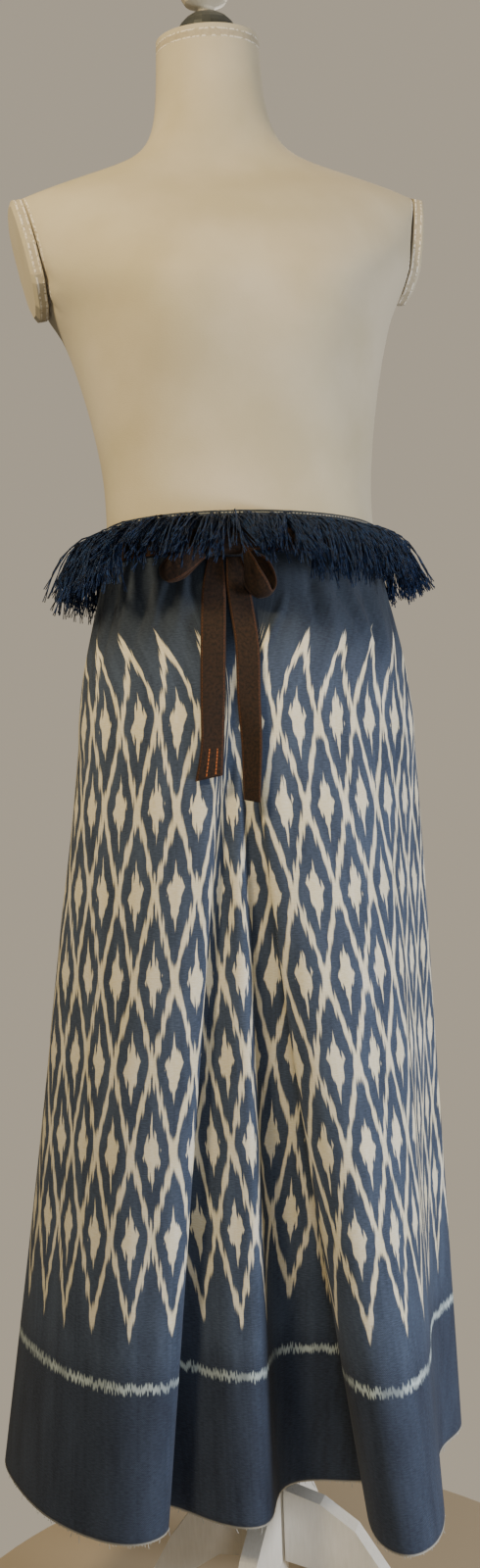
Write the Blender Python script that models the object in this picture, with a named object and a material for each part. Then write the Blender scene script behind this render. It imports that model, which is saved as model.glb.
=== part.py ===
"""Sinh tube skirt on a limbless dress form.

An ankle-length tube of hand-woven cloth is gathered at the waist of the form, its spare width
folded into a deep box pleat at the front. A yarn fringe stands out all round its top edge, and
a ribbon tied in a bow holds it. The form is one smooth covered torso on a post with four board
legs.

Metres, +Z up. The front faces -Y, and the form is turned a little towards +X on its post. Plan
places are first worked out from the post's axis, and the whole part is then moved so that its
box stands centred on the origin.
"""

import functools
import math
import random
from collections import namedtuple

import bmesh
import bpy
from mathutils import Matrix, Vector

MM = 0.001
GAP = 0.3 * MM
FORM_TURN = math.radians(12.0)

# Heights above the floor
SKIRT_TOP = 1.177
TIE_TOP = 1.160
TIE_LOW = 1.138
FOLD_TOP = 1.098
HIP = 1.020
HEM = 0.230
FORM_BOTTOM = 0.868
FORM_WIDENS = 0.905
WALL_RINGS = (1.177, 1.160, 1.138, 1.110, 1.084, 1.062, 1.040, 1.015, 0.985, 0.955, 0.915, 0.860,
              0.780, 0.685, 0.575, 0.460, 0.345, 0.230)

# Skirt wall
CLOTH = 1.2 * MM
WAIST_STANDOFF = 0.7 * MM + CLOTH / 2
FRONT_COLUMNS = 2
BACK_COLUMNS = 1
BACK_STATIONS = range(39, 55)
SETTLING = 0.035
GATHERS = 28
GATHER_DEPTH = 2.2 * MM

# Fringe
LOCKS = 168
STRIP_HEIGHT = 6.0 * MM
STRIP_DEPTH = 2.6 * MM
STRIP_CENTRE = 1.1705
LOCK_LENGTH = 76.0 * MM
LOCK_THICK = 2.6 * MM
LOCK_SHARE = 0.74
LOCK_LIFT = (12.0, 36.0)
LOCK_HANG = (56.0, 82.0)
LOCK_KNEE = 0.40
FRINGE_SEED = 11
BOW_ACROSS = -0.028
BOW_HALF = 0.060
BOW_FADE = 0.018
BOW_LIFT = 16.0
BOW_HANG = 28.0

# Ribbon tie
RIBBON_WIDTH = 25.0 * MM
RIBBON = 1.5 * MM
BAND_COLUMNS = 60
KNOT_SIZE = Vector((0.034, 0.011, 0.023))
KNOT_ACROSS = -0.018
KNOT_DROP = 0.0065
KNOT_CUTS = 2
KNOT_ROUNDING = 0.16
KNOT_SEAT = GAP + RIBBON + 0.4 * MM
FRONT_STATIONS = 36
FRONT_FINENESS = 5

# Stand
POST_RADIUS = 11.0 * MM
POST_FOOT = 0.060
POST_SIDES = 24
BOARD = 18.0 * MM
LEG_BEARINGS = (70.0, -20.0, -110.0, 160.0)

# The torso, level sections from the seat up to the neck. front and back are depths from the
# section's own centre, which stands at shift and set_back from the post's axis.
Section = namedtuple("Section", "height half_width front back shift set_back")
TORSO = (
    Section(0.868, 0.118, 0.080, 0.088, 0.000, 0.000),
    Section(0.885, 0.142, 0.096, 0.106, 0.000, 0.000),
    Section(0.920, 0.158, 0.109, 0.119, 0.000, 0.000),
    Section(0.965, 0.163, 0.114, 0.124, 0.000, 0.000),
    Section(1.020, 0.158, 0.112, 0.118, 0.000, 0.000),
    Section(1.080, 0.148, 0.107, 0.108, 0.000, 0.000),
    Section(1.140, 0.140, 0.102, 0.098, 0.000, 0.000),
    Section(1.190, 0.137, 0.099, 0.094, -0.001, 0.000),
    Section(1.240, 0.139, 0.102, 0.095, -0.002, 0.001),
    Section(1.290, 0.146, 0.112, 0.101, -0.004, 0.002),
    Section(1.340, 0.157, 0.126, 0.109, -0.006, 0.004),
    Section(1.385, 0.170, 0.130, 0.115, -0.007, 0.006),
    Section(1.405, 0.183, 0.127, 0.116, -0.009, 0.007),
    Section(1.430, 0.198, 0.120, 0.115, -0.010, 0.008),
    Section(1.460, 0.210, 0.107, 0.110, -0.012, 0.010),
    Section(1.490, 0.220, 0.089, 0.097, -0.013, 0.012),
    Section(1.509, 0.224, 0.073, 0.081, -0.013, 0.014),
    Section(1.523, 0.194, 0.063, 0.072, -0.013, 0.015),
    Section(1.537, 0.154, 0.057, 0.068, -0.014, 0.016),
    Section(1.549, 0.112, 0.054, 0.065, -0.015, 0.016),
    Section(1.564, 0.080, 0.053, 0.061, -0.016, 0.016),
    Section(1.590, 0.0615, 0.053, 0.057, -0.017, 0.016),
    Section(1.632, 0.055, 0.052, 0.053, -0.018, 0.016),
    Section(1.710, 0.053, 0.052, 0.052, -0.018, 0.016),
)
TORSO_COLUMNS = 40
TORSO_BETWEEN = (1.050, 1.110, 1.165, 1.215)
BUST = namedtuple("Bust", "height tall bearing wide forward")(1.375, 0.060, 27.0, 20.0, 0.016)
# The form leans a little to its right, so its sections rise to its left from the bust up.
SHOULDER_RISE = 0.066
RISE_FROM = 1.250
RISE_TO = 1.430
NECK_TOP = 1.687
NECK_SLOPE_FRONT = math.radians(11.5)
NECK_SLOPE_SIDE = math.radians(4.0)
ARM_PLANE_OUT = 0.195
ARM_PLANE_HEIGHT = 1.470
ARM_PLANE_TILT = math.radians(10.0)
ARM_PLANE_LEAN = math.radians(2.5)
ARM_CUT_LOWEST = 1.350
ARM_CAP = 9.0 * MM
ARM_CROWN = 0.91

# The cloth's stations, one row for each fold or stretch, going round from the left side past
# the front pleat, the right side and the back. waist and hip are bearings in degrees from the
# front, standoff is the layer's distance from the form at the hip in millimetres, and across
# and forward are where the hem hangs, in millimetres from the post. ease is how late the cloth
# leaves the hip for its place at the hem.
Station = namedtuple("Station", "name waist hip standoff across forward ease")
STATIONS = (
    Station("left side", -90, -90, 12, -282, -18, 1.10),
    Station("left front quarter", -73, -69, 12, -264, 22, 1.10),
    Station("left thigh", -56, -48, 12, -226, 84, 1.10),
    Station("left panel", -41, -31, 12, -174, 124, 1.10),
    Station("left panel crest", -31, -20, 13, -140, 137, 1.05),
    Station("left fold crown", -25, -11.5, 14.5, -117, 134, 1.00),
    Station("left fold edge", -20.5, -5.0, 14.5, -101, 120, 1.00),
    Station("left fold return", -17.5, -3.6, 12.8, -101, 100, 1.00),
    Station("left underfold", -15.0, -3.3, 10.8, -117, 89, 1.00),
    Station("left inner turn", -12.8, -3.1, 8.8, -137, 90, 1.00),
    Station("left inner return", -11.0, -2.9, 6.8, -138, 73, 1.00),
    Station("left pleat root", -9.4, -2.7, 4.9, -118, 68, 1.05),
    Station("centre start", -7.8, -2.3, 3.5, -92, 80, 1.15),
    Station("centre left", -6.2, -1.8, 3.2, -69, 98, 1.25),
    Station("centre swell", -4.5, -1.4, 3.2, -44, 113, 1.30),
    Station("centre crest", -3.0, -1.0, 3.2, -19, 118, 1.30),
    Station("centre shoulder", -1.5, -0.6, 3.2, -4, 108, 1.30),
    Station("centre step", 0.0, -0.2, 3.2, -1, 76, 1.30),
    Station("recess start", 1.5, 0.2, 3.2, 5, 52, 1.30),
    Station("recess left", 3.0, 0.6, 3.2, 24, 40, 1.30),
    Station("recess", 4.4, 1.0, 3.2, 50, 41, 1.30),
    Station("recess right", 5.9, 1.6, 3.5, 78, 46, 1.30),
    Station("right pleat root", 7.4, 2.2, 4.9, 104, 45, 1.30),
    Station("right inner return", 9.0, 2.5, 6.8, 127, 50, 1.30),
    Station("right inner turn", 10.8, 2.7, 8.8, 127, 68, 1.30),
    Station("right underfold", 13.0, 2.9, 10.8, 106, 74, 1.35),
    Station("right fold return", 15.3, 3.2, 12.8, 87, 82, 1.40),
    Station("right fold edge", 18.0, 4.6, 14.5, 84, 103, 1.40),
    Station("roll inner wall", 21.5, 9.0, 15, 87, 135, 1.40),
    Station("roll inner crown", 24.5, 14.0, 15, 98, 158, 1.40),
    Station("roll crown", 30.0, 19.5, 14, 117, 168, 1.30),
    Station("roll outer crown", 36.0, 26.5, 14, 137, 156, 1.20),
    Station("roll shoulder", 42.0, 34.0, 13, 150, 134, 1.10),
    Station("roll outer wall", 49.0, 42.0, 12, 157, 106, 1.00),
    Station("right valley", 57.0, 51.5, 11, 160, 66, 0.90),
    Station("right hollow", 66.0, 62.0, 11, 162, 24, 0.80),
    Station("right return", 76.0, 74.0, 11, 171, -12, 0.70),
    Station("right panel", 87.0, 86.0, 11, 190, -31, 0.70),
    Station("right side", 98.0, 97.0, 11, 205, -56, 0.75),
    Station("right back quarter", 108.0, 108.0, 11, 197, -94, 1.00),
    Station("right back hollow", 117.0, 118.0, 10, 178, -126, 1.00),
    Station("right back fold", 125.0, 126.5, 12, 164, -164, 1.00),
    Station("right back valley", 133.0, 133.0, 9, 132, -160, 1.00),
    Station("right back slope", 141.0, 141.0, 9, 99, -168, 1.00),
    Station("back right fold", 149.0, 150.5, 12, 68, -196, 1.00),
    Station("back right slope", 157.0, 158.5, 11, 36, -194, 1.00),
    Station("back middle valley", 165.0, 165.0, 9, 10, -172, 1.00),
    Station("back middle slope", 173.0, 172.5, 9, -20, -176, 1.00),
    Station("back left fold", 181.5, 182.5, 12, -54, -204, 1.00),
    Station("back left slope", 190.0, 192.0, 11, -88, -200, 1.00),
    Station("back left valley", 198.5, 199.0, 9, -114, -176, 1.00),
    Station("back left rise", 207.0, 206.5, 9, -144, -172, 1.00),
    Station("left back fold", 216.0, 217.0, 12, -182, -184, 1.00),
    Station("left back slope", 225.0, 227.0, 11, -212, -160, 1.00),
    Station("left back valley", 235.0, 235.5, 10, -232, -118, 1.00),
    Station("left back quarter", 246.0, 246.0, 11, -258, -92, 1.00),
    Station("left return", 258.0, 258.0, 12, -276, -56, 1.05),
)
ROUND = len(STATIONS)


def smooth(share):
    """A share from 0 to 1 that leaves and arrives level."""
    share = min(max(share, 0.0), 1.0)
    return share * share * (3.0 - 2.0 * share)


def between(low, high, share):
    """The value a share of the way from low to high."""
    return low + (high - low) * share


def cubic(before, first, second, after, share):
    """A Catmull-Rom value between first and second."""
    tangent_first = (second - before) / 2.0
    tangent_second = (after - first) / 2.0
    rise = second - first
    return (
        first
        + share * tangent_first
        + share**2 * (3.0 * rise - 2.0 * tangent_first - tangent_second)
        + share**3 * (tangent_first + tangent_second - 2.0 * rise)
    )


def torso_at(height):
    """The torso's section at any height, read smoothly from the table."""
    last = len(TORSO) - 1
    row = 0
    while row < last - 1 and TORSO[row + 1].height < height:
        row += 1
    low, high = TORSO[row], TORSO[row + 1]
    share = min(max((height - low.height) / (high.height - low.height), 0.0), 1.0)
    below, above = TORSO[max(row - 1, 0)], TORSO[min(row + 2, last)]
    values = [cubic(*column, share) for column in zip(below[1:], low[1:], high[1:], above[1:])]
    return Section(height, *values)


def bust_forward(height, bearing):
    """How far the bust stands out of the torso's oval at a bearing from the form's own front."""
    rise = math.exp(-(((height - BUST.height) / BUST.tall) ** 2))
    sides = sum(
        math.exp(-(((math.degrees(bearing) - side * BUST.bearing) / BUST.wide) ** 2)) for side in (-1, 1)
    )
    return BUST.forward * rise * sides


def turned(across, forward):
    """A plan place of the turned form, as a vector with -Y to the front."""
    cosine, sine = math.cos(FORM_TURN), math.sin(FORM_TURN)
    return Vector((across * cosine + forward * sine, across * sine - forward * cosine))


def beside_form(height, degrees, standoff):
    """The plan place at a bearing from the front, a standoff away from the torso."""
    section = torso_at(height)
    angle = math.radians(degrees) - FORM_TURN
    depth = section.front if math.cos(angle) > 0 else section.back
    across, forward = section.half_width * math.sin(angle), depth * math.cos(angle)
    normal = Vector((across / section.half_width**2, forward / depth**2)).normalized()
    place = turned(across + normal.x * standoff, forward + normal.y * standoff)
    return place + Vector((section.shift, section.set_back))


def raw_station(station, height):
    """The plan place of one station of the cloth at a height."""
    if height >= HIP:
        share = smooth((TIE_LOW - height) / (TIE_LOW - HIP))
        folded = smooth((FOLD_TOP - height) / (FOLD_TOP - HIP))
        bearing = between(station.waist, station.hip, folded)
        standoff = between(WAIST_STANDOFF, station.standoff * MM, math.sqrt(share))
        return beside_form(height, bearing, standoff)
    share = ((HIP - height) / (HIP - HEM)) ** station.ease
    hem = Vector((station.across, -station.forward)) * MM
    return beside_form(HIP, station.hip, station.standoff * MM).lerp(hem, share)


def station_at(station, height):
    """The station's place, eased over a short height so that the cloth hangs without a kink."""
    reach = min(SETTLING, max(TIE_LOW - height, 0.0), height - HEM)
    heights = [height + reach * step / 2.0 for step in (-2, -1, 0, 1, 2)]
    return sum((raw_station(station, each) for each in heights), Vector((0.0, 0.0))) / len(heights)


def layer_clearance(station, height):
    """The least distance that this layer keeps from the torso."""
    share = smooth((TIE_LOW - height) / (TIE_LOW - HIP))
    return between(WAIST_STANDOFF, 0.8 * station.standoff * MM, math.sqrt(share))


def blend_weights(share):
    """The four weights of a uniform cubic B-spline."""
    return (
        (1.0 - share) ** 3 / 6.0,
        (3.0 * share**3 - 6.0 * share**2 + 4.0) / 6.0,
        (-3.0 * share**3 + 3.0 * share**2 + 3.0 * share + 1.0) / 6.0,
        share**3 / 6.0,
    )


def pushed_clear(place, height, clearance):
    """The place, moved out where it would come nearer to the torso than its clearance."""
    if height < FORM_BOTTOM - SETTLING:
        return place
    section = torso_at(max(height, FORM_WIDENS))
    centre = Vector((section.shift, section.set_back))
    offset = place - centre
    cosine, sine = math.cos(FORM_TURN), math.sin(FORM_TURN)
    across = offset.x * cosine + offset.y * sine
    forward = offset.x * sine - offset.y * cosine
    depth = section.front if forward > 0 else section.back
    reach = math.hypot(across / (section.half_width + clearance), forward / (depth + clearance))
    return place if reach >= 1.0 else centre + offset / reach


def gather_wave(along, height):
    """The small ripples that run down the front from the tie and die out over the hips."""
    onset = smooth((TIE_LOW - height) / 0.03)
    fade = 1.0 - smooth((TIE_LOW - height) / 0.24)
    return GATHER_DEPTH * onset * fade * math.sin(2.0 * math.pi * GATHERS * along / ROUND)


def wall_place(along, height):
    """The middle of the cloth, along stations round the tube, at a height."""
    index = math.floor(along)
    place = Vector((0.0, 0.0))
    clearance = 0.0
    for step, weight in zip((-1, 0, 1, 2), blend_weights(along - index)):
        station = STATIONS[(index + step) % ROUND]
        place += station_at(station, height) * weight
        clearance += layer_clearance(station, height) * weight
    place += place.normalized() * gather_wave(along, height)
    return pushed_clear(place, height, clearance)


def wall_normal(along, height):
    """The plan direction that points out of the cloth."""
    step = 0.25
    run = wall_place(along + step, height) - wall_place(along - step, height)
    return Vector((run.y, -run.x)).normalized()


def off_wall(along, height, standoff):
    """A point at a standoff from the middle of the cloth."""
    place = wall_place(along, height) + wall_normal(along, height) * standoff
    return Vector((place.x, place.y, height))


def wall_ring(alongs, height, standoff):
    """A closed ring at a standoff from the cloth's middle, square to its own neighbouring points."""
    places = [wall_place(along, height) for along in alongs]
    ring = []
    for index, place in enumerate(places):
        before = (place - places[index - 1]).normalized()
        after = (places[(index + 1) % len(places)] - place).normalized()
        run = before + after
        normal = Vector((run.y, -run.x)).normalized()
        ring.append(Vector((place.x + normal.x * standoff, place.y + normal.y * standoff, height)))
    return ring


def make_material(name, colour, roughness, metallic=0.0):
    """A plain Principled material."""
    material = bpy.data.materials.new(name)
    material.use_nodes = True
    shader = material.node_tree.nodes["Principled BSDF"]
    shader.inputs["Base Color"].default_value = (*colour, 1.0)
    shader.inputs["Roughness"].default_value = roughness
    shader.inputs["Metallic"].default_value = metallic
    material.diffuse_color = (*colour, 1.0)
    return material


def make_object(name, body, material):
    """The bmesh as a named, smooth-shaded object."""
    bmesh.ops.recalc_face_normals(body, faces=body.faces)
    if body.calc_volume(signed=True) < 0:
        bmesh.ops.reverse_faces(body, faces=body.faces)
    mesh = bpy.data.meshes.new(name)
    body.to_mesh(mesh)
    body.free()
    mesh.materials.append(material)
    mesh.shade_smooth()
    mesh.set_sharp_from_angle(angle=math.radians(50.0))
    made = bpy.data.objects.new(name, mesh)
    bpy.context.scene.collection.objects.link(made)
    return made


def join_rings(body, rings, close_rows=False):
    """Quads between closed rings of vertices, and from the last ring to the first if closed."""
    count = len(rings[0])
    pairs = list(zip(rings, rings[1:]))
    if close_rows:
        pairs.append((rings[-1], rings[0]))
    faces = []
    for low, high in pairs:
        for column in range(count):
            following = (column + 1) % count
            faces.append(body.faces.new((low[column], low[following], high[following], high[column])))
    return faces


def cloth_tube(name, alongs, heights, inner, outer, material):
    """A closed cloth wall round the whole tube between two standoffs from the cloth's middle."""
    body = bmesh.new()
    rings = [[body.verts.new(point) for point in wall_ring(alongs, z, outer)] for z in heights]
    rings += [[body.verts.new(point) for point in wall_ring(alongs, z, inner)] for z in reversed(heights)]
    join_rings(body, rings, close_rows=True)
    return make_object(name, body, material)


def make_skirt(material):
    """The skirt: one tube of cloth with its box pleat, side folds, gathers and back folds."""
    alongs = []
    for index in range(ROUND):
        columns = BACK_COLUMNS if index in BACK_STATIONS else FRONT_COLUMNS
        alongs += [index + column / columns for column in range(columns)]
    return cloth_tube("skirt_tube", alongs, WALL_RINGS, -CLOTH / 2, CLOTH / 2, material)


def even_alongs(count, height):
    """Places round the tube at even distances along the cloth's edge."""
    fine = 12 * ROUND
    marks = [wall_place(step * ROUND / fine, height) for step in range(fine + 1)]
    travelled = [0.0]
    for first, second in zip(marks, marks[1:]):
        travelled.append(travelled[-1] + (second - first).length)
    alongs = []
    step = 0
    for index in range(count):
        target = travelled[-1] * index / count
        while travelled[step + 1] < target:
            step += 1
        share = (target - travelled[step]) / (travelled[step + 1] - travelled[step])
        alongs.append((step + share) * ROUND / fine)
    return alongs


def lock_section(face, centre, tangent, thickness_way, width, thickness):
    """The new end face of a lock, drawn in to a narrower section round its centre."""
    middle = face.calc_center_median()
    for vertex in face.verts:
        across = (vertex.co - middle).dot(tangent)
        up = (vertex.co - middle).dot(thickness_way)
        vertex.co = (
            centre
            + tangent * math.copysign(width / 2, across)
            + thickness_way * math.copysign(thickness / 2, up)
        )


def over_bow(root):
    """How fully, from 0 to 1, a lock lies over the bow, which holds it up."""
    if root.y > 0.0:
        return 0.0
    return smooth(1.0 - (abs(root.x - BOW_ACROSS) - BOW_HALF) / BOW_FADE)


def make_fringe(material):
    """The yarn fringe: a narrow strip round the top edge with locks that stand out and droop."""
    chance = random.Random(FRINGE_SEED)
    body = bmesh.new()
    alongs = even_alongs(LOCKS, STRIP_CENTRE)
    near = CLOTH / 2 + GAP
    top, low = STRIP_CENTRE + STRIP_HEIGHT / 2, STRIP_CENTRE - STRIP_HEIGHT / 2
    heads = [body.verts.new(off_wall(along, top, near)) for along in alongs]
    soles = [body.verts.new(off_wall(along, low, near)) for along in alongs]
    brows = [body.verts.new(off_wall(along, low, near + STRIP_DEPTH)) for along in alongs]
    join_rings(body, [soles, heads])
    join_rings(body, [brows, soles])
    outward_faces = join_rings(body, [heads, brows])
    for face in outward_faces:
        root = face.calc_center_median()
        edge_run = [vertex.co for vertex in face.verts]
        tangent = (edge_run[1] - edge_run[0]).normalized()
        outward = Vector((tangent.y, -tangent.x, 0.0)).normalized()
        if outward.dot(Vector((root.x, root.y, 0.0))) < 0:
            outward = -outward
        pitch = (edge_run[1] - edge_run[0]).length
        length = LOCK_LENGTH * chance.uniform(0.86, 1.10)
        raised = over_bow(root)
        lift = math.radians(chance.uniform(*LOCK_LIFT) - raised * BOW_LIFT)
        hang = math.radians(chance.uniform(*LOCK_HANG) - raised * BOW_HANG)
        sway = tangent * pitch * chance.uniform(-0.06, 0.06)
        rooted = outward * math.cos(lift) - Vector((0.0, 0.0, math.sin(lift)))
        hanging = outward * math.cos(hang) - Vector((0.0, 0.0, math.sin(hang)))
        knee = root + rooted * length * LOCK_KNEE + sway
        tip = knee + hanging * length * (1.0 - LOCK_KNEE) + sway
        width = pitch * LOCK_SHARE
        for centre, slope, size in ((knee, (lift + hang) / 2, 1.0), (tip, hang, 0.8)):
            made = bmesh.ops.extrude_discrete_faces(body, faces=[face])
            face = made["faces"][0]
            across_lock = outward * math.sin(slope) + Vector((0, 0, math.cos(slope)))
            lock_section(face, centre, tangent, across_lock, width * size, LOCK_THICK * size)
    return make_object("waist_fringe", body, material)


def make_tie_band(material):
    """The ribbon round the waist, which lies on the cloth and holds it in."""
    alongs = even_alongs(BAND_COLUMNS, TIE_LOW)
    near = CLOTH / 2 + GAP
    heights = (TIE_LOW, TIE_TOP)
    return cloth_tube("tie_band", alongs, heights, near, near + RIBBON, material)


def ribbon_strip(name, path, across_ways, facing_ways, widths, material):
    """A flat ribbon along a path: a quad section turned by its own width and facing directions."""
    body = bmesh.new()
    rings = []
    for centre, across, facing, width in zip(path, across_ways, facing_ways, widths):
        corners = ((-1, -1), (1, -1), (1, 1), (-1, 1))
        rings.append(
            [
                body.verts.new(centre + across * side * width / 2 + facing * face * RIBBON / 2)
                for side, face in corners
            ]
        )
    join_rings(body, rings)
    body.faces.new(rings[0])
    body.faces.new(rings[-1])
    return make_object(name, body, material)


@functools.lru_cache(maxsize=None)
def front_places(height):
    """Close plan places along the cloth's front at a height."""
    return [wall_place(step / FRONT_FINENESS, height) for step in range(FRONT_STATIONS * FRONT_FINENESS)]


def front_of_cloth(across, height, standoff):
    """The point just in front of the cloth's foremost layer at a place across the front."""
    places = front_places(height)
    crossings = [
        min(first.y, second.y)
        for first, second in zip(places, places[1:])
        if (first.x - across) * (second.x - across) <= 0
    ]
    return Vector((across, min(crossings) - CLOTH / 2 - standoff, height))


def knot_corner(scale):
    """A corner of the knot's grid, measured from its middle and drawn in towards its rim."""
    drawn = 1.0 - KNOT_ROUNDING * (scale.x**2 + scale.z**2) / 2.0
    return Vector((scale.x, scale.y * drawn, scale.z * drawn)) * KNOT_SIZE / 2.0


def knot_centre():
    """The middle of the knot, seated on the tie's band and clear of the cloth below it."""
    height = (TIE_LOW + TIE_TOP) / 2 - KNOT_DROP
    grid = [2.0 * step / (KNOT_CUTS + 1) - 1.0 for step in range(KNOT_CUTS + 2)]
    seats = []
    for side in grid:
        for end in grid:
            back = knot_corner(Vector((side, 1.0, end)))
            low = height + back.z
            standoff = KNOT_SEAT if low > TIE_LOW else GAP
            seats.append(front_of_cloth(KNOT_ACROSS + back.x, low, standoff).y - back.y)
    return Vector((KNOT_ACROSS, min(seats), height))


def make_knot(material):
    """The knot of the bow, a rounded pad of wrapped ribbon."""
    body = bmesh.new()
    bmesh.ops.create_cube(body, size=2.0)
    bmesh.ops.subdivide_edges(body, edges=body.edges, cuts=KNOT_CUTS, use_grid_fill=True)
    centre = knot_centre()
    for vertex in body.verts:
        vertex.co = centre + knot_corner(vertex.co)
    return make_object("tie_knot", body, material)


LoopShape = namedtuple("LoopShape", "name side reach drop fall")
LOOPS = (
    LoopShape("tie_loop_left", -1, 0.052, 0.006, 0.020),
    LoopShape("tie_loop_right", 1, 0.034, 0.013, 0.036),
)
LOOP_SECTIONS = 15
LOOP_DEPTH = 0.015
LOOP_ROOT_DEPTH = 2.4 * MM
LOOP_ROUNDING = 0.6
LOOP_START = 0.45 * MM
LOOP_STANDOFF = 0.6 * MM
LOOP_PINCH = 0.62


def loop_rest(shape, start_x, knot):
    """How far forward a loop hangs to lie clear on the foremost cloth behind it."""
    fronts = []
    for share in (0.3, 0.65, 1.0):
        across = start_x + shape.side * shape.reach * share
        for drop in (0.0, RIBBON_WIDTH / 2):
            low = knot.z - shape.drop - shape.fall * share - drop
            fronts.append(front_of_cloth(across, low, 0.0).y)
    return min(fronts) - LOOP_DEPTH / 2 - RIBBON / 2 - LOOP_STANDOFF


def make_loop(shape, material):
    """One loop of the bow: a ribbon that leaves the knot, turns, and comes back behind itself."""
    knot = knot_centre()
    start_x = knot.x + shape.side * (KNOT_SIZE.x / 2 + LOOP_START)
    rest = loop_rest(shape, start_x, knot)
    path, shares = [], []
    for step in range(LOOP_SECTIONS):
        angle = math.pi * step / (LOOP_SECTIONS - 1)
        share = math.sin(angle)
        half_depth = between(LOOP_ROOT_DEPTH, LOOP_DEPTH, smooth(1.4 * share)) / 2.0
        rounding = abs(math.cos(angle)) ** LOOP_ROUNDING
        layer = math.copysign(half_depth * rounding, math.cos(angle))
        middle = between(min(knot.y, rest + LOOP_DEPTH / 4), rest, smooth(1.5 * share))
        height = knot.z - shape.drop - shape.fall * share
        path.append(Vector((start_x + shape.side * shape.reach * share, middle - layer, height)))
        shares.append(share)
    acrosses, facings = [], []
    for step, share in enumerate(shares):
        before, after = path[max(step - 1, 0)], path[min(step + 1, LOOP_SECTIONS - 1)]
        run = (after - before).normalized()
        across = Vector((shape.side * shape.fall / shape.reach * share, 0.0, 1.0)).normalized()
        acrosses.append(across)
        facings.append(run.cross(across).normalized())
    widths = [between(LOOP_PINCH, 1.0, share) * RIBBON_WIDTH for share in shares]
    return ribbon_strip(shape.name, path, acrosses, facings, widths, material)


TAIL_STEPS = 3
TAIL_STANDOFF = 2.2 * MM
TAIL_LEAVES = 0.045
TailPoint = namedtuple("TailPoint", "across height width twist")
LEFT_TAIL = (
    TailPoint(-0.0265, 1.1315, 14.0, 0.0),
    TailPoint(-0.0290, 1.1000, 22.5, 0.0),
    TailPoint(-0.0310, 1.0500, 23.5, 1.0),
    TailPoint(-0.0330, 0.9990, 23.0, 6.0),
    TailPoint(-0.0350, 0.9560, 21.5, 9.0),
    TailPoint(-0.0390, 0.9260, 26.0, 2.0),
)
RIGHT_TAIL = (
    TailPoint(-0.0095, 1.1315, 14.0, 0.0),
    TailPoint(-0.0060, 1.1000, 22.0, 0.0),
    TailPoint(0.0000, 1.0500, 22.5, -5.0),
    TailPoint(0.0000, 0.9990, 22.0, -14.0),
    TailPoint(0.0010, 0.9560, 21.0, -30.0),
    TailPoint(-0.0005, 0.9040, 19.0, -42.0),
)


def tail_rows(points):
    """The tail's points at close, even heights, read smoothly from its table."""
    rows = []
    for index, (low, high) in enumerate(zip(points, points[1:])):
        before, after = points[max(index - 1, 0)], points[min(index + 2, len(points) - 1)]
        for step in range(TAIL_STEPS):
            share = step / TAIL_STEPS
            rows.append(TailPoint(*[cubic(*column, share) for column in zip(before, low, high, after)]))
    return rows + [points[-1]]


def make_tail(name, points, standoff, material):
    """One hanging end of the tie, lying on the cloth from the knot down."""
    path, acrosses, facings, widths = [], [], [], []
    for point in tail_rows(points):
        half = point.width * MM / 2
        sides = (-1.0, -0.5, 0.0, 0.5, 1.0)
        fronts = [front_of_cloth(point.across + side * half, point.height, 0.0).y for side in sides]
        lean = math.radians(point.twist)
        rest = min(fronts) - standoff - abs(math.sin(lean)) * half - RIBBON / 2
        leaving = smooth((points[0].height - point.height) / TAIL_LEAVES)
        path.append(Vector((point.across, min(rest, between(knot_centre().y, rest, leaving)), point.height)))
        across = Vector((math.cos(lean), math.sin(lean), 0.0))
        acrosses.append(across)
        facings.append(Vector((-across.y, across.x, 0.0)))
        widths.append(point.width * MM)
    return ribbon_strip(name, path, acrosses, facings, widths, material)


def torso_point(section, bearing):
    """A point of the torso's skin at a bearing from the form's own front."""
    depth = section.front if math.cos(bearing) > 0 else section.back
    across = section.half_width * math.sin(bearing)
    forward = depth * math.cos(bearing) + bust_forward(section.height, bearing)
    place = turned(across, forward)
    rise = SHOULDER_RISE * smooth((section.height - RISE_FROM) / (RISE_TO - RISE_FROM))
    return Vector((place.x + section.shift, place.y + section.set_back, section.height + rise * across))


def arm_plane(side):
    """A point and the outward normal of the plane that closes an arm opening."""
    chest = torso_at(ARM_PLANE_HEIGHT)
    place = turned(side * ARM_PLANE_OUT, 0.0)
    point = Vector((place.x + chest.shift, place.y + chest.set_back, ARM_PLANE_HEIGHT))
    level = turned(side, 0.0)
    tilt = ARM_PLANE_TILT - side * ARM_PLANE_LEAN
    normal = Vector((level.x, level.y, 0.0)) * math.cos(tilt)
    return point, normal + Vector((0.0, 0.0, -math.sin(tilt)))


def neck_plane():
    """A point and the upward normal of the sloping top of the neck."""
    top = torso_at(NECK_TOP)
    ahead = turned(0.0, 1.0)
    aside = turned(-1.0, 0.0)
    slope = Vector((ahead.x, ahead.y, 0.0)) * math.tan(NECK_SLOPE_FRONT)
    slope += Vector((aside.x, aside.y, 0.0)) * math.tan(NECK_SLOPE_SIDE)
    return Vector((top.shift, top.set_back, NECK_TOP)), (slope + Vector((0.0, 0.0, 1.0))).normalized()


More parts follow.
